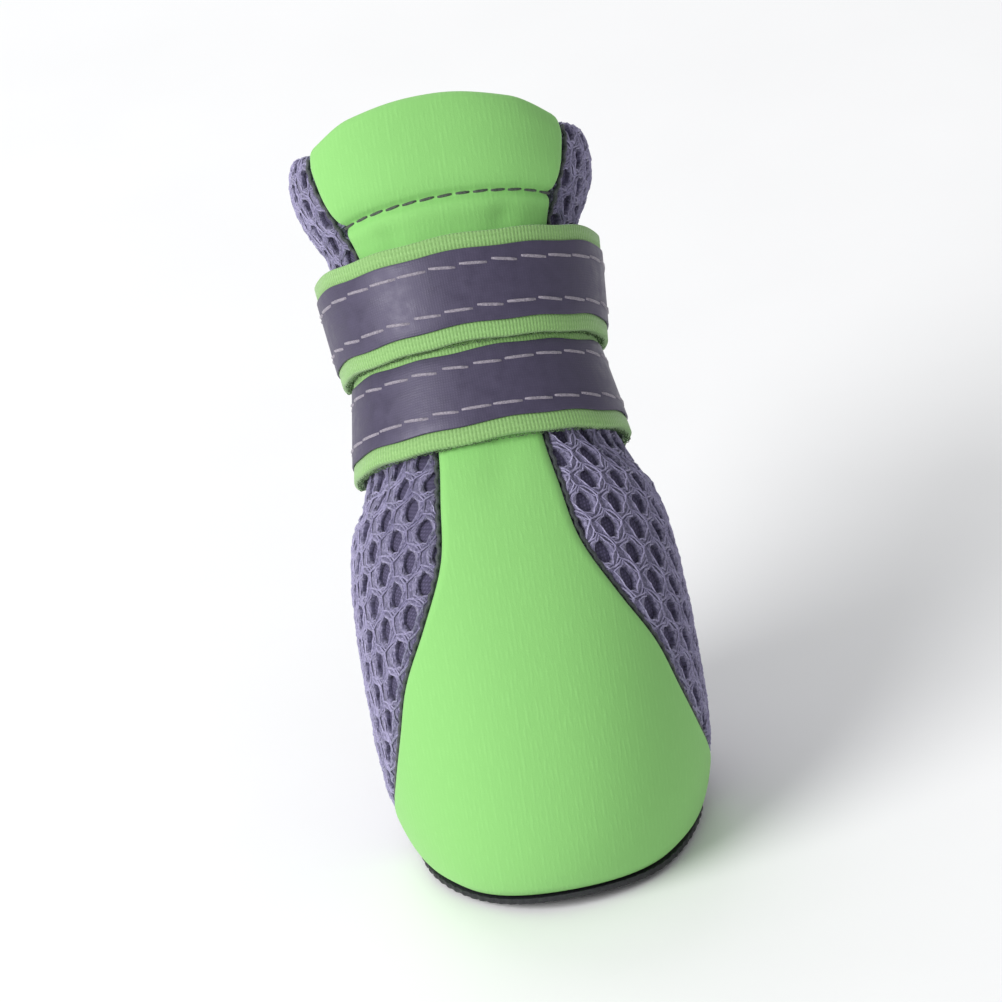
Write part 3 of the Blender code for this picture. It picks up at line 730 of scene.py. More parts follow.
def net_tree():
    """The air mesh's cells, laid out flat in rows and wrapped on to the cloth by its UV map."""
    tree, sizes = geometry_tree("air mesh net", (
        ("Cell", "Object"), ("Pitch", "Float"), ("Row", "Float"), ("Width", "Float"), ("Height", "Float"), ("Unevenness", "Float"),
        ("Yarn", "Material"),
    ))
    columns = calc(tree, "CEIL", calc(tree, "DIVIDE", sizes["Width"], sizes["Pitch"]))
    rows = calc(tree, "CEIL", calc(tree, "DIVIDE", sizes["Height"], sizes["Row"]))
    flat = add(tree, "GeometryNodeMeshGrid", {
        "Size X": calc(tree, "MULTIPLY", columns, sizes["Pitch"]), "Size Y": calc(tree, "MULTIPLY", rows, sizes["Row"]),
        "Vertices X": calc(tree, "ADD", columns, 1.0), "Vertices Y": calc(tree, "ADD", rows, 1.0),
    })
    here = add(tree, "ShaderNodeSeparateXYZ", {0: add(tree, "GeometryNodeInputPosition").outputs[0]})
    row = calc(tree, "ROUND", calc(tree, "DIVIDE", here.outputs[1], sizes["Row"]))
    odd = calc(tree, "PINGPONG", row, 1.0)
    shift = calc(tree, "MULTIPLY", calc(tree, "MULTIPLY", odd, 0.5), sizes["Pitch"])
    step = add(tree, "ShaderNodeCombineXYZ", {
        "X": shift, "Y": calc(tree, "SUBTRACT", calc(tree, "MULTIPLY", row, sizes["Row"]), here.outputs[1]),
    })
    staggered = add(tree, "GeometryNodeSetPosition", {"Geometry": flat.outputs[0], "Offset": step.outputs[0]})
    cell = add(tree, "GeometryNodeObjectInfo", {"Object": sizes["Cell"], "As Instance": True})
    laid = add(tree, "GeometryNodeInstanceOnPoints", {"Points": staggered.outputs[0], "Instance": cell.outputs["Geometry"]})
    real = add(tree, "GeometryNodeRealizeInstances", {0: laid.outputs[0]})
    knit = add(tree, "GeometryNodeMergeByDistance", {0: real.outputs[0], "Distance": 0.00003})
    place = add(tree, "GeometryNodeInputPosition").outputs[0]
    pulled = add(tree, "ShaderNodeTexNoise", {"Vector": place, "Scale": 330.0, "Detail": 2.0, "Roughness": 0.6}).outputs["Color"]
    strain = vector_calc(tree, "MULTIPLY", vector_calc(tree, "SUBTRACT", pulled, (0.5, 0.5, 0.5)), (1.0, 1.0, 0.35))
    pulls = vector_calc(tree, "SCALE", strain)
    tree.links.new(sizes["Unevenness"], pulls.node.inputs["Scale"])
    uneven = add(tree, "GeometryNodeSetPosition", {"Geometry": knit.outputs[0], "Offset": pulls})
    mapped = add(tree, "GeometryNodeStoreNamedAttribute", {
        0: uneven.outputs[0], "Name": "cloth", "Value": place,
    }, data_type="FLOAT2", domain="CORNER")
    uv = add(tree, "GeometryNodeInputNamedAttribute", {"Name": "cloth"}, data_type="FLOAT_VECTOR").outputs[0]
    pile = add(tree, "GeometryNodeInputNamedAttribute", {"Name": "pile"}, data_type="FLOAT_VECTOR").outputs[0]
    look = {"Mesh": sizes["Geometry"], "UV Map": uv, "Sample UV": place}
    base = add(tree, "GeometryNodeSampleUVSurface", {**look, "Value": add(tree, "GeometryNodeInputPosition").outputs[0]}, data_type="FLOAT_VECTOR")
    lift = add(tree, "GeometryNodeSampleUVSurface", {**look, "Value": pile}, data_type="FLOAT_VECTOR")
    outside = add(tree, "FunctionNodeBooleanMath", {0: base.outputs["Is Valid"]}, operation="NOT")
    height = add(tree, "ShaderNodeSeparateXYZ", {0: place}).outputs[2]
    raised = vector_calc(tree, "SCALE", lift.outputs[0])
    tree.links.new(calc(tree, "MULTIPLY", height, 1000.0), raised.node.inputs["Scale"])
    worn = add(tree, "GeometryNodeSetPosition", {
        "Geometry": mapped.outputs[0], "Position": vector_calc(tree, "ADD", base.outputs[0], raised),
    })
    marked = add(tree, "GeometryNodeStoreNamedAttribute", {
        0: mapped.outputs[0], "Name": "spare", "Value": outside.outputs[0],
    }, data_type="BOOLEAN", domain="POINT")
    tree.links.new(marked.outputs[0], worn.inputs["Geometry"])
    spare = add(tree, "GeometryNodeInputNamedAttribute", {"Name": "spare"}, data_type="BOOLEAN").outputs[0]
    cut = add(tree, "GeometryNodeDeleteGeometry", {0: worn.outputs[0], "Selection": spare}, domain="POINT")
    end_tree(tree, cut.outputs[0], sizes["Yarn"])
    return tree


def dots_tree():
    """Grip dots in staggered rows wherever the sole's flat underside is."""
    tree, sizes = geometry_tree("grip dots", (("Dot", "Object"), ("Pitch", "Float"), ("Reach", "Float"), ("Sink", "Float"), ("Rubber", "Material")))
    count = calc(tree, "ADD", calc(tree, "ROUND", calc(tree, "DIVIDE", sizes["Reach"], sizes["Pitch"])), 1.0)
    span = calc(tree, "MULTIPLY", calc(tree, "SUBTRACT", count, 1.0), sizes["Pitch"])
    flat = add(tree, "GeometryNodeMeshGrid", {"Size X": span, "Size Y": span, "Vertices X": count, "Vertices Y": count})
    here = add(tree, "ShaderNodeSeparateXYZ", {0: add(tree, "GeometryNodeInputPosition").outputs[0]})
    odd = calc(tree, "PINGPONG", calc(tree, "ROUND", calc(tree, "DIVIDE", here.outputs[1], sizes["Pitch"])), 1.0)
    shift = add(tree, "ShaderNodeCombineXYZ", {"X": calc(tree, "MULTIPLY", calc(tree, "MULTIPLY", odd, 0.5), sizes["Pitch"]), "Z": -0.01})
    rows = add(tree, "GeometryNodeSetPosition", {"Geometry": flat.outputs[0], "Offset": shift.outputs[0]})
    seen = add(tree, "GeometryNodeRaycast", {"Target Geometry": sizes["Geometry"], "Ray Direction": (0, 0, 1), "Ray Length": 0.02})
    down = add(tree, "ShaderNodeSeparateXYZ", {0: seen.outputs["Hit Normal"]}).outputs[2]
    off = add(tree, "FunctionNodeCompare", {0: down, 1: -0.999}, data_type="FLOAT", operation="GREATER_THAN")
    missed = add(tree, "FunctionNodeBooleanMath", {0: seen.outputs["Is Hit"]}, operation="NOT")
    spare = add(tree, "FunctionNodeBooleanMath", {0: off.outputs[0], 1: missed.outputs[0]}, operation="OR")
    lowered = vector_calc(tree, "ADD", seen.outputs["Hit Position"], add(tree, "ShaderNodeCombineXYZ", {"Z": sizes["Sink"]}).outputs[0])
    kept = add(tree, "GeometryNodeDeleteGeometry", {0: rows.outputs[0], "Selection": spare.outputs[0]}, domain="POINT")
    set_down = add(tree, "GeometryNodeSetPosition", {"Geometry": kept.outputs[0], "Position": lowered})
    dot = add(tree, "GeometryNodeObjectInfo", {"Object": sizes["Dot"], "As Instance": True})
    laid = add(tree, "GeometryNodeInstanceOnPoints", {"Points": set_down.outputs[0], "Instance": dot.outputs["Geometry"]})
    end_tree(tree, laid.outputs[0], sizes["Rubber"])
    return tree


def bristle_tree():
    """Small hooks scattered over a patch of cloth."""
    tree, sizes = geometry_tree("hooks", (("Spacing", "Float"), ("Length", "Float"), ("Thickness", "Float"), ("Seed", "Int"), ("Hook", "Material")))
    spots = add(tree, "GeometryNodeDistributePointsOnFaces", {
        0: sizes["Geometry"], "Distance Min": sizes["Spacing"], "Density Max": 4.0e6, "Seed": sizes["Seed"],
    }, distribute_method="POISSON")
    bend = add(tree, "GeometryNodeCurveArc", {"Resolution": 5, "Radius": 0.5, "Start Angle": 0.0, "Sweep Angle": math.radians(200)})
    ring = add(tree, "GeometryNodeCurvePrimitiveCircle", {"Resolution": 4, "Radius": calc(tree, "DIVIDE", sizes["Thickness"], sizes["Length"])})
    hook = add(tree, "GeometryNodeCurveToMesh", {0: bend.outputs[0], 1: ring.outputs[0], "Fill Caps": True})
    upright = add(tree, "GeometryNodeTransform", {0: hook.outputs[0], "Rotation": (math.pi / 2, 0, 0)})
    spin = add(tree, "FunctionNodeRandomValue", {2: -0.6, 3: 0.6, "Seed": sizes["Seed"]}, data_type="FLOAT").outputs[1]
    turn = add(tree, "ShaderNodeCombineXYZ", {"Z": spin})
    turned = add(tree, "FunctionNodeRotateRotation", {0: spots.outputs["Rotation"], 1: turn.outputs[0]}, rotation_space="LOCAL")
    grow = add(tree, "FunctionNodeRandomValue", {2: 0.7, 3: 1.15, "Seed": sizes["Seed"]}, data_type="FLOAT").outputs[1]
    tall = calc(tree, "MULTIPLY", grow, sizes["Length"])
    scale = add(tree, "ShaderNodeCombineXYZ", {"X": tall, "Y": tall, "Z": tall})
    laid = add(tree, "GeometryNodeInstanceOnPoints", {
        "Points": spots.outputs[0], "Instance": upright.outputs[0], "Rotation": turned.outputs[0], "Scale": scale.outputs[0],
    })
    end_tree(tree, laid.outputs[0], sizes["Hook"])
    return tree


STITCHES, THREADS, NET, DOTS, HOOKS = stitch_tree(), thread_tree(), net_tree(), dots_tree(), bristle_tree()


def guide_line(points, out):
    """A line of vertices for a tree, with its outward directions."""
    points = np.asarray(points)
    mesh = bpy.data.meshes.new("guide")
    mesh.from_pydata([tuple(p) for p in points], [(i, i + 1) for i in range(len(points) - 1)], [])
    mesh.attributes.new("out", "FLOAT_VECTOR", "POINT").data.foreach_set("vector", np.asarray(out, np.float32).ravel())
    guide = bpy.data.objects.new("guide", mesh)
    bpy.context.scene.collection.objects.link(guide)
    return guide


def stitch_shape():
    """One stitch of unit size along X: an even thread that dips into the cloth at both ends."""
    turn = np.radians(np.arange(6) * 60)
    rings = []
    for along, thick in ((-0.5, 0.5), (-0.45, 0.92), (-0.22, 1.0), (0.22, 1.0), (0.45, 0.92), (0.5, 0.5)):
        dip = -0.85 * (2 * abs(along)) ** 10
        rings.append(np.column_stack([np.full(6, along), np.cos(turn) * thick / 2, np.sin(turn) * thick / 2 + dip]))
    return new_piece("stitch", np.array(rings), tube_faces(6, 6))


def stitch_row(name, points, out, pitch, length, thickness, slant, seed, material):
    stitch = stitch_shape()
    row = grown(name, STITCHES, guide_line(points, out), {
        "Stitch": stitch, "Pitch": pitch, "Length": length, "Thickness": thickness, "Slant": slant, "Seed": seed, "Thread": material,
    })
    bpy.data.objects.remove(stitch)
    return row


# ---- Air-mesh body
MESH_PILE = 0.0009
HOLE_PITCH, HOLE_ROW = 0.0054, 0.0038
HOLE_WIDTH, HOLE_HEIGHT = 0.0024, 0.0034
YARN_RADIUS = 0.00014
HEM_LEVEL = 16.1


def rolled_over(top, normal, up, wall, steps):
    """Rows that carry cloth over the rim: from the outside round a half turn to the inside."""
    rows = []
    for turn in np.linspace(0, math.pi, steps + 2)[1:-1]:
        out = normal * math.cos(turn) + up * math.sin(turn)
        rows.append((top - normal * (wall / 2)[..., None] + out * (wall / 2)[..., None], out))
    return rows


def body_guide():
    """The mesh cloth as a bare sheet: from under the sole's edge up, over the rim, and down inside to its hem."""
    share = np.linspace(0, 1, 161)
    share = 0.6 * share + 0.4 * (0.5 - 0.5 * np.cos(np.pi * share))
    levels = np.concatenate([np.linspace(0, ANKLE_LEVEL, 90)[:-1], np.linspace(ANKLE_LEVEL, TOP_LEVEL, 110)])
    rows, piles, flat, facing, upwards = [], [], [], [], []
    for level in levels:
        edge, degree = edge_at(level)
        start = edge - 0.0024 / degree
        angle = start + (360 - 2 * start) * share
        from_seam = np.minimum(angle - edge, 360 - edge - angle) * degree
        dive = 1 - ease(from_seam, -0.0005, 0.0012)
        dive = np.maximum(dive, 1 - ease(level, 0.0, 0.35))
        points, normal, up = cloth(level, angle, -MESH_PILE - 0.0011 * dive)
        rows.append(points)
        piles.append(normal * (MESH_PILE * (1 - 0.62 * dive))[:, None])
        flat.append(skin(level, angle))
        facing.append(normal)
        upwards.append(unit(up + 0.2 * np.sin(np.radians(angle))[:, None] * np.cross(up, normal)))
    layout = flat_layout(np.array(flat), np.array(facing), np.array(upwards), 80)
    layout -= layout[89, 80]
    bottom = rows[0], piles[0]
    for inward in (0.0007, 0.0014, 0.0021):
        flat_in = unit(bottom[0] * (1, 1, 0)) * inward
        rows.insert(0, bottom[0] - flat_in)
        piles.insert(0, np.broadcast_to((0, 0, -0.0002), bottom[1].shape))
    top_level = levels[-1]
    edge, degree = edge_at(top_level)
    start = edge - 0.0024 / degree
    angle = start + (360 - 2 * start) * share
    from_seam = np.minimum(angle - edge, 360 - edge - angle) * degree
    dive = 1 - ease(from_seam, -0.0005, 0.0012)
    normal, up = directions(top_level, angle)
    top = skin(top_level, angle) + normal * relief(skin(top_level, angle))[:, None]
    shallow = 1 - 0.62 * dive
    low = 0.0011 * dive
    for step, (centre, out) in enumerate(rolled_over(top, normal, up, np.full(len(angle), WALL), 7)):
        pile = MESH_PILE * (1 - 0.35 * math.sin(math.pi * (step + 1) / 8))
        rows.append(centre - out * (pile + low)[:, None])
        piles.append(out * (pile * shallow)[:, None])
    for level in np.linspace(top_level - 0.02, HEM_LEVEL, 16):
        edge, degree = edge_at(level)
        start = edge - 0.0024 / degree
        angle = start + (360 - 2 * start) * share
        last = ease(level, HEM_LEVEL, HEM_LEVEL + 0.25)
        points, normal, up = cloth(level, angle, -WALL + MESH_PILE)
        rows.append(points + normal * (low + 0.0002 * (1 - last))[:, None])
        piles.append(-normal * (MESH_PILE * shallow * (0.3 + 0.7 * last))[:, None])
    rows, piles = np.array(rows), np.array(piles)
    last = 3 + len(layout) - 1
    steps = np.linalg.norm(np.diff(rows + piles, axis=0), axis=-1)[last:]
    up_there, down_there = unit(layout[-1] - layout[-3]), unit(layout[0] - layout[2])
    above = layout[-1] + up_there * np.cumsum(steps, axis=0)[..., None]
    below = [layout[0] + down_there * tuck for tuck in (0.0021, 0.0014, 0.0007)]
    uv = np.concatenate([below, layout, above])
    faces = grid_faces(*rows.shape[:2])
    return new_piece("cloth guide", rows, faces, None, uv, {"pile": piles.reshape(-1, 3)})


def cell_outlines():
    """A mesh hole's edge and the border of its cell, flat, point by point."""
    half, row = HOLE_PITCH / 2, HOLE_ROW
    lean = (half**2 + row**2) / (2 * row)
    corner = lean - half * half / row
    corners = [(half, corner), (0, lean), (-half, corner), (-half, -corner), (0, -lean), (half, -corner)]
    border = []
    for i, (a, b) in enumerate(zip(corners, corners[1:] + corners[:1])):
        parts = 2 if a[0] == b[0] else 3
        border += [(a[0] + (b[0] - a[0]) * k / parts, a[1] + (b[1] - a[1]) * k / parts) for k in range(parts)]
    border = np.array(border)
    turn = np.arctan2(border[:, 1] / HOLE_HEIGHT, border[:, 0] / HOLE_WIDTH)
    hole = np.stack([np.cos(turn) * np.abs(np.cos(turn)) ** 0.25 * HOLE_WIDTH / 2, np.sin(turn) * HOLE_HEIGHT / 2], -1)
    return hole, border, turn


def net_cell():
    """One hole of the mesh with the cloth round it, flat. Its height is a share of the pile, in millimetres."""
    hole, border, _ = cell_outlines()
    rings = ((1.04, 0.0, -0.05, 0.0), (0.98, 0.03, 0.62, 0.18), (1.0, 0.36, 1.0, 0.45), (1.0, 1.0, 0.70, 1.0))
    points, across = [], []
    for scale, share, height, mark in rings:
        flat = hole * scale * (1 - share) + border * share
        points.append(np.column_stack([flat, np.full(len(flat), height * 0.001)]))
        across += [mark] * len(flat)
    faces = [f[::-1] for f in grid_faces(len(rings), len(border), ring=True)]
    return new_piece("mesh cell", np.array(points), faces, None, None, {"across": across})


def yarn_loop(waves, phase, middle):
    """One thread that sways round a mesh hole, flat, a triangle in section."""
    hole, border, turn = cell_outlines()
    share = (middle + 0.27 * np.sin(waves * turn + phase) + 0.10 * np.sin(2 * turn + 3 * phase))[:, None]
    line = hole * (1 - share) + border * share
    height = 0.00102 + 0.00012 * np.cos(waves * turn + phase)
    forward = np.roll(line, -1, 0) - np.roll(line, 1, 0)
    forward /= np.linalg.norm(forward, axis=1)[:, None]
    side = np.column_stack([-forward[:, 1], forward[:, 0]])
    points = []
    for tilt in np.radians((-30, 90, 210)):
        flat = line + side * math.cos(tilt) * YARN_RADIUS
        points.append(np.column_stack([flat, height + math.sin(tilt) * YARN_RADIUS]))
    stations = len(line)
    points = np.stack(points, 1)
    faces = []
    for i in range(stations):
        here, ahead = 3 * i, 3 * ((i + 1) % stations)
        faces += [(here + k, here + (k + 1) % 3, ahead + (k + 1) % 3, ahead + k) for k in range(3)]
    return new_piece("yarn loop", points, faces)


def make_net(name, sheet, cell, yarn):
    """One cell repeated all over the sheet."""
    guide = sheet.copy()
    bpy.context.scene.collection.objects.link(guide)
    net = grown(name, NET, guide, {
        "Cell": cell, "Pitch": HOLE_PITCH, "Row": HOLE_ROW, "Width": 0.160, "Height": 0.190, "Unevenness": 0.0012, "Yarn": yarn,
    })
    bpy.data.objects.remove(cell)
    return net


def make_air_mesh():
    """The mesh cloth, and the loose pale threads over it, two round each hole."""
    sheet = body_guide()
    net = make_net("air_mesh", sheet, net_cell(), AIR_MESH)
    loops = ((5, 0.4, 0.36), (3, -1.6, 0.90))
    threads = [make_net(f"yarn_{i}", sheet, yarn_loop(*loop), YARN) for i, loop in enumerate(loops)]
    bpy.data.objects.remove(sheet)
    return net, join(threads, "mesh_yarn")


def make_backing():
    """The mesh's dark floor outside and the lining inside, one closed wall with a thin rim."""
    rows, inner_rows = [], []
    angle = np.linspace(0, 360, 145)[:-1]
    levels = np.concatenate([np.linspace(0, 16.0, 96), np.linspace(16.0, TOP_LEVEL, 16)[1:]])
    for level in levels:
        edge, degree = edge_at(level)
        turned = np.minimum(angle, 360 - angle)
        from_seam = (turned - edge) * degree
        dive = 1 - ease(from_seam, -0.0002, 0.0012)
        hem = ease(level, HEM_LEVEL - 0.15, HEM_LEVEL + 0.12)
        points, normal, _ = cloth(level, angle, -MESH_PILE - 0.00007 - 0.0007 * dive * (1 - hem) - 0.0001 * hem)
        inside = (WALL - 0.0001) * (1 - hem) + (MESH_PILE + 0.00022) * hem
        rows.append(points)
        inner_rows.append(cloth(level, angle, -inside)[0])
    normal, up = directions(TOP_LEVEL, angle)
    rows.append(rows[-1] + up * 0.00055 - normal * 0.0002)
    inner_rows.append(inner_rows[-1] + up * 0.00055 + normal * 0.0002)
    rows, inner_rows = np.array(rows), np.array(inner_rows)
    uv = np.stack([lengths_from(rows, 1, 0), lengths_from(rows, 0, 0)], -1)
    marks = {"inside": np.concatenate([np.zeros(rows.size // 3), np.ones(rows.size // 3)])}
    closing = np.linalg.norm(rows[:, -1] - rows[:, 0], axis=-1)
    return layer("mesh_backing", rows, inner_rows, BACKING, uv, marks, round_length=uv[:, -1, 0] + closing)


# ---- Neoprene front
def panel_out(level, rise):
    """How far the neoprene's face stands out: pinched at the hem's stitch line and puffed above it."""
    past = rise - HEM_RISE
    plain = 0.00030 + 0.00045 * ease(past, -0.0002, 0.0035)
    puff = 0.0005 * np.exp(-(((past - 0.0045) / 0.0036) ** 2))
    groove = 0.00085 * np.exp(-((past / 0.00075) ** 2))
    below = 0.00025 * np.exp(-(((past + 0.0022) / 0.0014) ** 2))
    return plain + puff - groove + below


def make_front_panel():
    share = np.linspace(-1, 1, 67)
    share = 0.55 * share + 0.45 * np.sin(np.pi / 2 * share)
    levels = np.concatenate([np.linspace(0, 13.0, 130)[:-1], np.linspace(13.0, TOP_LEVEL, 84)])
    outer, inner = [], []

    def row_at(level, out, thick, inwards=False):
        edge, degree = edge_at(level)
        edge = edge - 0.00025 / degree
        angle = edge * share
        from_edge = edge * (1 - np.abs(share)) * degree
        pinch = 1 - np.sqrt(np.clip(1 - (1 - np.clip(from_edge / 0.0018, 0, 1)) ** 2, 0, 1))
        points, normal, up = cloth(level, angle, (out + 0.0010 * pinch) if inwards else (out - 0.0012 * pinch))
        facing = -normal if inwards else normal
        return points, facing, up, points - facing * (thick * (1 - 0.7 * pinch))[:, None], pinch

    for level in levels:
        rise = smooth(SECTIONS, np.array(level))[9]
        foot = ease(level, 0.0, 0.5)
        out = panel_out(level, rise) - 0.0005 * (1 - foot)
        points, _, _, behind, _ = row_at(level, out, 0.0014)
        outer.append(points)
        inner.append(behind)
    rise = smooth(SECTIONS, np.array(TOP_LEVEL))[9]
    out = panel_out(TOP_LEVEL, rise)
    points, normal, up, _, pinch = row_at(TOP_LEVEL, out, 0.0014)
    wall = (WALL + out) - 0.0020 * pinch
    for rolled, facing in rolled_over(points, normal, up, wall, 9):
        outer.append(rolled)
        inner.append(rolled - facing * (0.0011 * (1 - 0.7 * pinch))[:, None])
    for level in np.linspace(TOP_LEVEL - 0.03, HEM_LEVEL - 0.55, 22):
        last = ease(level, HEM_LEVEL - 0.55, HEM_LEVEL - 0.35)
        points, _, _, behind, _ = row_at(level, -WALL - 0.0001 + 0.0004 * (1 - last), 0.0009 * (0.5 + 0.5 * last), True)
        outer.append(points)
        inner.append(behind)
    outer, inner = np.array(outer), np.array(inner)
    middle = outer.shape[1] // 2
    uv = np.stack([lengths_from(outer, 1, middle), lengths_from(outer, 0, 0)], -1)
    return layer("front_neoprene", outer, inner, NEOPRENE, uv)


def make_hem_stitches():
    """The dark stitches along the collar's hem, outside on the neoprene."""
    level = level_at(HEM_RISE)
    edge, degree = edge_at(level)
    edge -= 0.0016 / degree
    angle = np.linspace(-edge, edge, 60)
    points, normal, _ = cloth(level, angle, panel_out(level, HEM_RISE) + 0.00008)
    return stitch_row("hem_stitches", points, normal, 0.0028, 0.0025, 0.00046, 0.04, 11, DARK_THREAD)


def make_side_seams():
    """The dark overlocked seams where the neoprene is sewn to the mesh, one down each side."""
    seams = []
    for side in (-1, 1):
        level = np.linspace(0.35, TOP_LEVEL - 0.05, 420)
        edge, degree = edge_at(level)
        run = np.cumsum(np.concatenate([[0], np.linalg.norm(np.diff(skin(level, side * edge), axis=0), axis=1)]))
        tooth = 0.00016 * np.sign(np.sin(run * 2 * math.pi / 0.0021)) * np.abs(np.sin(run * 2 * math.pi / 0.0021)) ** 0.6
        collar = ease(level, 13.3, 14.2)
        aside = 0.00022 + 0.00050 * collar + tooth
        points, normal, _ = cloth(level, side * (edge + aside / degree), -0.00055 + 0.00045 * collar)
        seams.append(grown(f"side_seam_{side}", THREADS, guide_line(points, normal), {"Thickness": 0.0007, "Thread": SEAM_THREAD}))
    return join(seams, "side_seams")


# ---- Straps
def over_tab(angle):
    return ease(angle, TAB_START - 40.0, TAB_START)


def strap_point(low_rise, stand_off, across, angle, lift):
    """Points over a strap's inner face, with the outward directions."""
    across, angle, lift = np.broadcast_arrays(np.asarray(across, float), np.asarray(angle, float), np.asarray(lift, float))
    edges = []
    for share, stand in zip((0.0, 1.0), stand_off):
        level = np.full(angle.shape, level_at(low_rise + share * STRAP_WIDTH))
        out = GAP + stand + over_tab(angle) * (TAB_THICKNESS + GAP)
        edges.append([surface(level, angle + turn, out) for turn in (-1.0, 0.0, 1.0)])
    low, high = edges
    across = across[..., None]
    around = (low[2] - low[0]) * (1 - across) + (high[2] - high[0]) * across
    normal = unit(np.cross(around, high[1] - low[1]))
    return low[1] * (1 - across) + high[1] * across + normal * lift[..., None], normal


def ribbon_profile(width, thickness, margin=0.0, sunk=0.0, round_off=0.0003):
    """A ribbon's section as (along its width, height) pairs, with round edges and a shallow bed for the tape."""
    side = [
        (width / 2 - round_off + round_off * math.cos(t), thickness / 2 + (thickness / 2) * math.sin(t))
        for t in np.linspace(-math.pi / 2, math.pi / 2, 7)
    ]
    top = []
    if margin:
        crown = margin * 0.5
        top = [
            (width / 2 - crown, thickness * 1.01), (width / 2 - margin + 0.0003, thickness), (width / 2 - margin - 0.0001, thickness - sunk),
            (0.0, thickness - sunk), (-width / 2 + margin + 0.0001, thickness - sunk), (-width / 2 + margin - 0.0003, thickness),
            (-width / 2 + crown, thickness * 1.01),
        ]
    else:
        top = [(width * k, thickness) for k in (0.35, 0.17, 0.0, -0.17, -0.35)]
    other = [(-x, z) for x, z in reversed(side)]
    return np.array(side + top + other)


def make_ribbon(name, low_rise, stand_off, profile, base_lift, angles, material, middle=0.5):
    """A ribbon along the strap's way with a given section. Its ends are rounded off."""
    deg = 57.3 * 0.0008 / 0.019
    taper = np.concatenate([[0.35, 0.75, 0.94], np.ones(len(angles)), [0.94, 0.75, 0.35]])
    first, last = angles[0] + deg * np.array([-0.5, -0.4, -0.2]), angles[-1] + deg * np.array([0.2, 0.4, 0.5])
    stations = np.concatenate([first, angles, last])
    half = profile[:, 1].max() / 2
    across = middle + profile[:, 0][None, :] / STRAP_WIDTH + 0 * stations[:, None]
    wander = 0.00012 * (np.sin(np.radians(stations) * 5.3 + low_rise * 900) + np.sin(np.radians(stations) * 11.7 + low_rise * 500))
    across = across + wander[:, None] / STRAP_WIDTH
    lift = base_lift + half + (profile[:, 1][None, :] - half) * taper[:, None]
    points, _ = strap_point(low_rise, stand_off, across, stations[:, None] + 0 * across, lift)
    along = lengths_from(points, 0, 0)[:, len(profile) // 2]
    round_length = np.concatenate([[0], np.cumsum(np.linalg.norm(np.diff(profile, axis=0), axis=1))])
    uv = np.stack(np.broadcast_arrays(along[:, None], round_length[None, :]), -1)
    return new_piece(name, points, tube_faces(len(stations), len(profile)), material, uv)


def make_strap(name, low_rise, stand_off, seed):
    margin = (STRAP_WIDTH - TAPE_WIDTH) / 2
    angles = np.linspace(STRAP_START, STRAP_END, 190)
    webbing_piece = make_ribbon(name + "_webbing", low_rise, stand_off, ribbon_profile(STRAP_WIDTH, STRAP_THICKNESS, margin, 0.0002), 0.0, angles, WEBBING)
    tape = make_ribbon(name + "_tape", low_rise, stand_off, ribbon_profile(TAPE_WIDTH, TAPE_THICKNESS, 0, 0, 0.00015), STRAP_THICKNESS - 0.0001, angles[1:-1], TAPE)
    lift = STRAP_THICKNESS + TAPE_THICKNESS - 0.00016
    rows = []
    for side, share in enumerate((0.5 - 0.205, 0.5 + 0.205)):
        line = np.linspace(STRAP_START + 5, STRAP_END - 8, 260)
        sway = 0.006 * np.sin(np.radians(line) * 3.1 + side * 2 + seed)
        points, normal = strap_point(low_rise, stand_off, share + sway, line, lift)
        rows.append(stitch_row(f"{name}_tape_stitches_{side}", points, normal, 0.0050, 0.0049, 0.00055, -0.09, seed + side, PALE_THREAD))
    stitches = join(rows, name + "_tape_stitches")
    teeth = 19
    t = np.linspace(0.04, 0.96, teeth)
    swing = np.where(np.arange(teeth) % 2 == 0, -1.0, 1.0) * 2.4
    bar_points, bar_out = [], []
    fine = np.linspace(0, teeth - 1, (teeth - 1) * 5 + 1)
    across = np.interp(fine, np.arange(teeth), t)
    angle = 227.0 + np.interp(fine, np.arange(teeth), swing)
    up = STRAP_THICKNESS + np.where(np.abs(across - 0.5) < TAPE_WIDTH / 2 / STRAP_WIDTH, TAPE_THICKNESS, 0.00008)
    bar_points, bar_out = strap_point(low_rise, stand_off, across, angle, up + 0.00008)
    bar = grown(name + "_bar_stitch", THREADS, guide_line(bar_points, bar_out), {"Thickness": 0.00052, "Thread": GREY_THREAD})
    # Loose fibres along the strap's lower edge, coloured darker than the webbing as painted shade under the edge.
    round_way = np.linspace(STRAP_START + 2, STRAP_END - 2, 180)
    under, _ = strap_point(low_rise, stand_off, 0.004, round_way, 0.0002)
    over, _ = strap_point(low_rise, stand_off, -0.006, round_way, 0.0010)
    selvedge = new_piece("selvedge", np.stack([under, over]), grid_faces(2, len(round_way)))
    fuzz = grown(name + "_edge_fuzz", HOOKS, selvedge, {"Spacing": 0.00045, "Length": 0.0006, "Thickness": 0.00007, "Seed": seed + 20, "Hook": EDGE_FUZZ_WITH_PAINTED_SHADE})
    return webbing_piece, tape, stitches, bar, fuzz


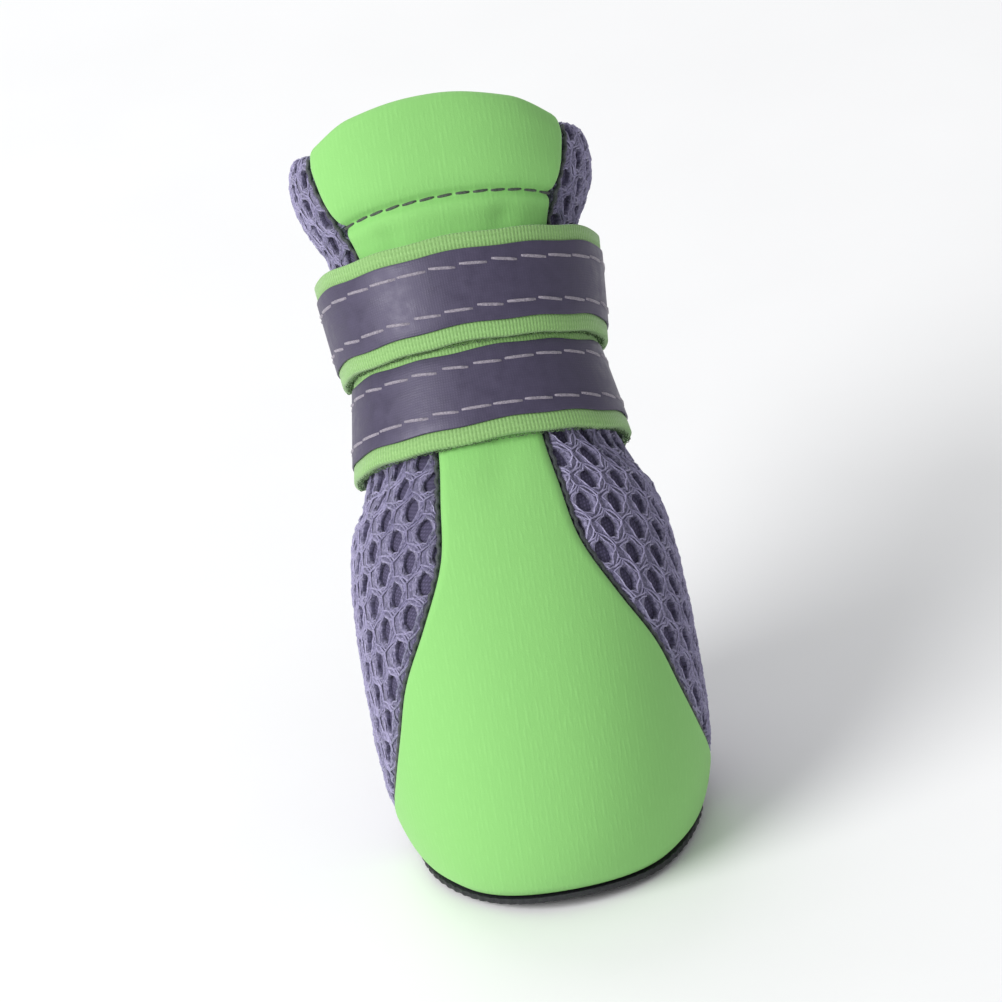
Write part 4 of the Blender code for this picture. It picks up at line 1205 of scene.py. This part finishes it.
def make_hook_tab(name, low_rise, stand_off, seed):
    """The hook tab under the free end. Past the strap it curls away from the boot."""
    angles = np.linspace(TAB_START + 8, TAB_END, 46)
    across = np.linspace(0.0010, STRAP_WIDTH - 0.0010, 19)
    outer, inner = [], []
    for rise in across:
        level = np.full(angles.shape, level_at(low_rise + rise))
        bare = np.clip((angles - STRAP_END + 3) / (TAB_END - STRAP_END + 3), 0, 1)
        lift = GAP + 0.0011 * bare**1.8 * (1 + 0.16 * np.sin(rise * 520 + seed))
        outer.append(surface(level, angles, lift + TAB_THICKNESS))
        inner.append(surface(level, angles, lift))
    outer, inner = np.array(outer), np.array(inner)
    uv = np.stack([lengths_from(outer, 1, 0), lengths_from(outer, 0, 0)], -1)
    tab = layer(name + "_hook_cloth", outer, inner, HOOK, uv)
    bare = outer[:, 24:]
    patch = new_piece("hook patch", bare, grid_faces(*bare.shape[:2]))
    hooks = grown(name + "_hooks", HOOKS, patch, {"Spacing": 0.00055, "Length": 0.0007, "Thickness": 0.00009, "Seed": seed, "Hook": HOOK})
    return tab, hooks


# ---- Sole and insole
def outline_at(angle, inset):
    flat = skin(0.0, angle)[..., :2]
    along = skin(0.0, angle + 1.0)[..., :2] - skin(0.0, angle - 1.0)[..., :2]
    outward = unit(np.stack([along[..., 1], -along[..., 0]], -1))
    return flat - outward * np.asarray(inset)[..., None]


def ring_at(angle, inset, z, share=1.0):
    flat = outline_at(angle, inset) * share
    return np.column_stack([flat, z + spring_at(flat[:, 1])])


def stacked(name, rings, finish_used, smooth_angle=40):
    count = len(rings[0])
    points = np.concatenate([*rings, [rings[0].mean(0)], [rings[-1].mean(0)]])
    faces = grid_faces(len(rings), count, ring=True)
    low, high = len(rings) * count, len(rings) * count + 1
    last = (len(rings) - 1) * count
    for c in range(count):
        n = (c + 1) % count
        faces.append((n, c, low))
        faces.append((last + c, last + n, high))
    piece = new_piece(name, points, faces, finish_used, None, None, smooth_angle)
    build = bmesh.new()
    build.from_mesh(piece.data)
    bmesh.ops.recalc_face_normals(build, faces=build.faces)
    build.to_mesh(piece.data)
    build.free()
    return piece


DOT_HEIGHT = 0.00045


def make_sole():
    count = 260
    angle = np.arange(count) * 360 / count
    notch = 0.00013 * np.sin(np.arange(count) * math.pi * 0.62) + 0.0001 * np.sin(np.radians(angle) * 7)
    t = SOLE_THICKNESS
    rings = [
        ring_at(angle, np.zeros(count), DOT_HEIGHT, 0.35),
        ring_at(angle, np.zeros(count), DOT_HEIGHT, 0.70),
        ring_at(angle, np.full(count, 0.95 * t), DOT_HEIGHT),
        ring_at(angle, 0.30 * t + notch * 0.3, DOT_HEIGHT + 0.10 * t),
        ring_at(angle, -0.3 * SOLE_LIP + notch, 0.42 * t),
        ring_at(angle, -SOLE_LIP + notch, 0.70 * t),
        ring_at(angle, -0.7 * SOLE_LIP + notch, 0.95 * t),
        ring_at(angle, 0.0006 + notch * 0.5, t + 0.0001),
        ring_at(angle, np.full(count, 0.0022), t),
        ring_at(angle, np.zeros(count), t, 0.70),
    ]
    return stacked("grip_sole", rings, RUBBER)


def make_dots(sole):
    """Ring-shaped rubber dots under the sole, down to the floor."""
    turn = np.radians(np.arange(10) * 36)
    profile = ((0.00115, 0.00008), (0.00098, -0.00032), (0.00074, -DOT_HEIGHT), (0.00044, -DOT_HEIGHT + 0.00004), (0.00026, -0.00020))
    rings = [np.column_stack([np.cos(turn) * r, np.sin(turn) * r, np.full(len(turn), z)]) for r, z in profile]
    points = np.concatenate([*rings, [(0, 0, -0.00016)]])
    faces = [f[::-1] for f in grid_faces(len(rings), len(turn), ring=True)]
    last = (len(rings) - 1) * len(turn)
    faces += [(last + c, last + (c + 1) % len(turn), len(points) - 1) for c in range(len(turn))]
    dot = new_piece("dot", points, faces)
    build = bmesh.new()
    build.from_mesh(dot.data)
    bmesh.ops.recalc_face_normals(build, faces=build.faces)
    build.to_mesh(dot.data)
    build.free()
    guide = sole.copy()
    guide.data = sole.data.copy()
    bpy.context.scene.collection.objects.link(guide)
    dots = grown("grip_dots", DOTS, guide, {"Dot": dot, "Pitch": 0.0046, "Reach": 0.075, "Sink": 0.0, "Rubber": RUBBER})
    bpy.data.objects.remove(dot)
    return dots


def make_insole():
    count = 96
    angle = np.arange(count) * 360 / count
    clear, base, t = WALL + GAP, SOLE_THICKNESS + GAP, INSOLE_THICKNESS
    rings = [
        ring_at(angle, np.zeros(count), base, 0.4),
        ring_at(angle, np.full(count, clear + 0.4 * t), base),
        ring_at(angle, np.full(count, clear + 0.08 * t), base + 0.22 * t),
        ring_at(angle, np.full(count, clear), base + 0.5 * t),
        ring_at(angle, np.full(count, clear + 0.15 * t), base + 0.78 * t),
        ring_at(angle, np.full(count, clear + 0.5 * t), base + 0.95 * t),
        ring_at(angle, np.full(count, clear), base + 1.05 * t, 0.72),
        ring_at(angle, np.full(count, clear), base + 1.12 * t, 0.4),
    ]
    piece = stacked("padded_insole", rings, LINING, 60)
    return piece


def lining_cloth():
    made, tree, shader = finish("grey insole cloth", (0.12, 0.11, 0.16), 0.88, Sheen_Weight=0.2)
    place = vector_calc(tree, "MULTIPLY", add(tree, "ShaderNodeTexCoord").outputs["Object"], (1000, 1000, 1000))
    spots = add(tree, "ShaderNodeSeparateXYZ", {0: place})
    weave = calc(tree, "MULTIPLY", ripple(tree, spots.outputs[0], 0.7), ripple(tree, spots.outputs[1], 0.7))
    tone = calc(tree, "MULTIPLY_ADD", weave, 0.5, calc(tree, "MULTIPLY", noise(tree, place, 1.5, 4, 0.7), 0.6))
    tree.links.new(ramp(tree, tone, (0.2, (0.07, 0.065, 0.10)), (0.8, (0.19, 0.175, 0.25))), shader.inputs["Base Color"])
    bump(tree, shader, tone, 0.00015, 0.8)
    return made


LINING = lining_cloth()


# ---- The boot
def settle(piece, slot, *nodes):
    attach(piece, "root")
    if nodes:
        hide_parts(*nodes)


settle(make_backing(), "air_mesh", "upper")
for piece in make_air_mesh():
    settle(piece, "air_mesh")
settle(make_front_panel(), "neoprene", "front_panel")
settle(make_hem_stitches(), "neoprene")
settle(make_side_seams(), "neoprene")
for strap, low_rise, stand_off, seed in (("lower", 0.0, LOWER_STAND, 3), ("upper", UPPER_STRAP_RISE, UPPER_STAND, 7)):
    webbing_piece, tape, stitches, bar, fuzz = make_strap(strap, low_rise, stand_off, seed)
    settle(webbing_piece, "webbing", strap + "_strap")
    settle(tape, "reflective_tape", strap + "_reflective_tape")
    settle(stitches, "reflective_tape")
    settle(bar, "reflective_tape")
    settle(fuzz, "webbing")
    tab, hooks = make_hook_tab(strap, low_rise, stand_off, seed)
    settle(tab, "hook_fabric", strap + "_hook_tab")
    settle(hooks, "hook_fabric")
sole = make_sole()
settle(make_dots(sole), "grip_sole")
settle(sole, "grip_sole", "sole")
insole = make_insole()
settle(insole, "lining", "insole")


# ---- Floor, light and camera
def make_floor():
    build = bmesh.new()
    bmesh.ops.create_grid(build, x_segments=8, y_segments=8, size=4.0)
    mesh = bpy.data.meshes.new("floor")
    build.to_mesh(mesh)
    build.free()
    mesh.materials.append(FLOOR)
    floor = bpy.data.objects.new("floor", mesh)
    bpy.context.scene.collection.objects.link(floor)


def soft_light(name, place, size, watts, target=(0, 0.01, 0.05)):
    lamp = bpy.data.lights.new(name, "AREA")
    lamp.shape, lamp.size, lamp.energy = "DISK", size, watts
    made = bpy.data.objects.new(name, lamp)
    made.location = place
    made.rotation_mode = "QUATERNION"
    made.rotation_quaternion = (Vector(target) - Vector(place)).to_track_quat("-Z", "Y")
    bpy.context.scene.collection.objects.link(made)


def make_camera():
    target, distance, elevation, roll = Vector((0.0, 0.0145, 0.0515)), 1.2, math.radians(28), math.radians(-10.5)
    back = Vector((0, -math.cos(elevation), math.sin(elevation)))
    camera = bpy.data.objects.new("camera", bpy.data.cameras.new("camera"))
    camera.data.lens = 270
    camera.data.sensor_width = 36
    camera.data.clip_start, camera.data.clip_end = 0.01, 20
    camera.location = target + back * distance
    camera.rotation_mode = "QUATERNION"
    camera.rotation_quaternion = (-back).to_track_quat("-Z", "Y") @ Quaternion((0, 0, 1), roll)
    bpy.context.scene.collection.objects.link(camera)
    bpy.context.scene.camera = camera


def make_daylight():
    world = bpy.context.scene.world or bpy.data.worlds.new("studio")
    bpy.context.scene.world = world
    world.use_nodes = True
    sky = world.node_tree.nodes["Background"]
    sky.inputs[0].default_value = (0.97, 0.98, 1.0, 1)
    sky.inputs[1].default_value = 0.48


make_floor()
soft_light("key", (-1.20, -0.75, 0.95), 1.1, 27.0)
soft_light("rim", (-0.3, 1.1, 1.1), 1.2, 6.0)
make_daylight()
make_camera()
bpy.context.scene.view_settings.view_transform = "Standard"
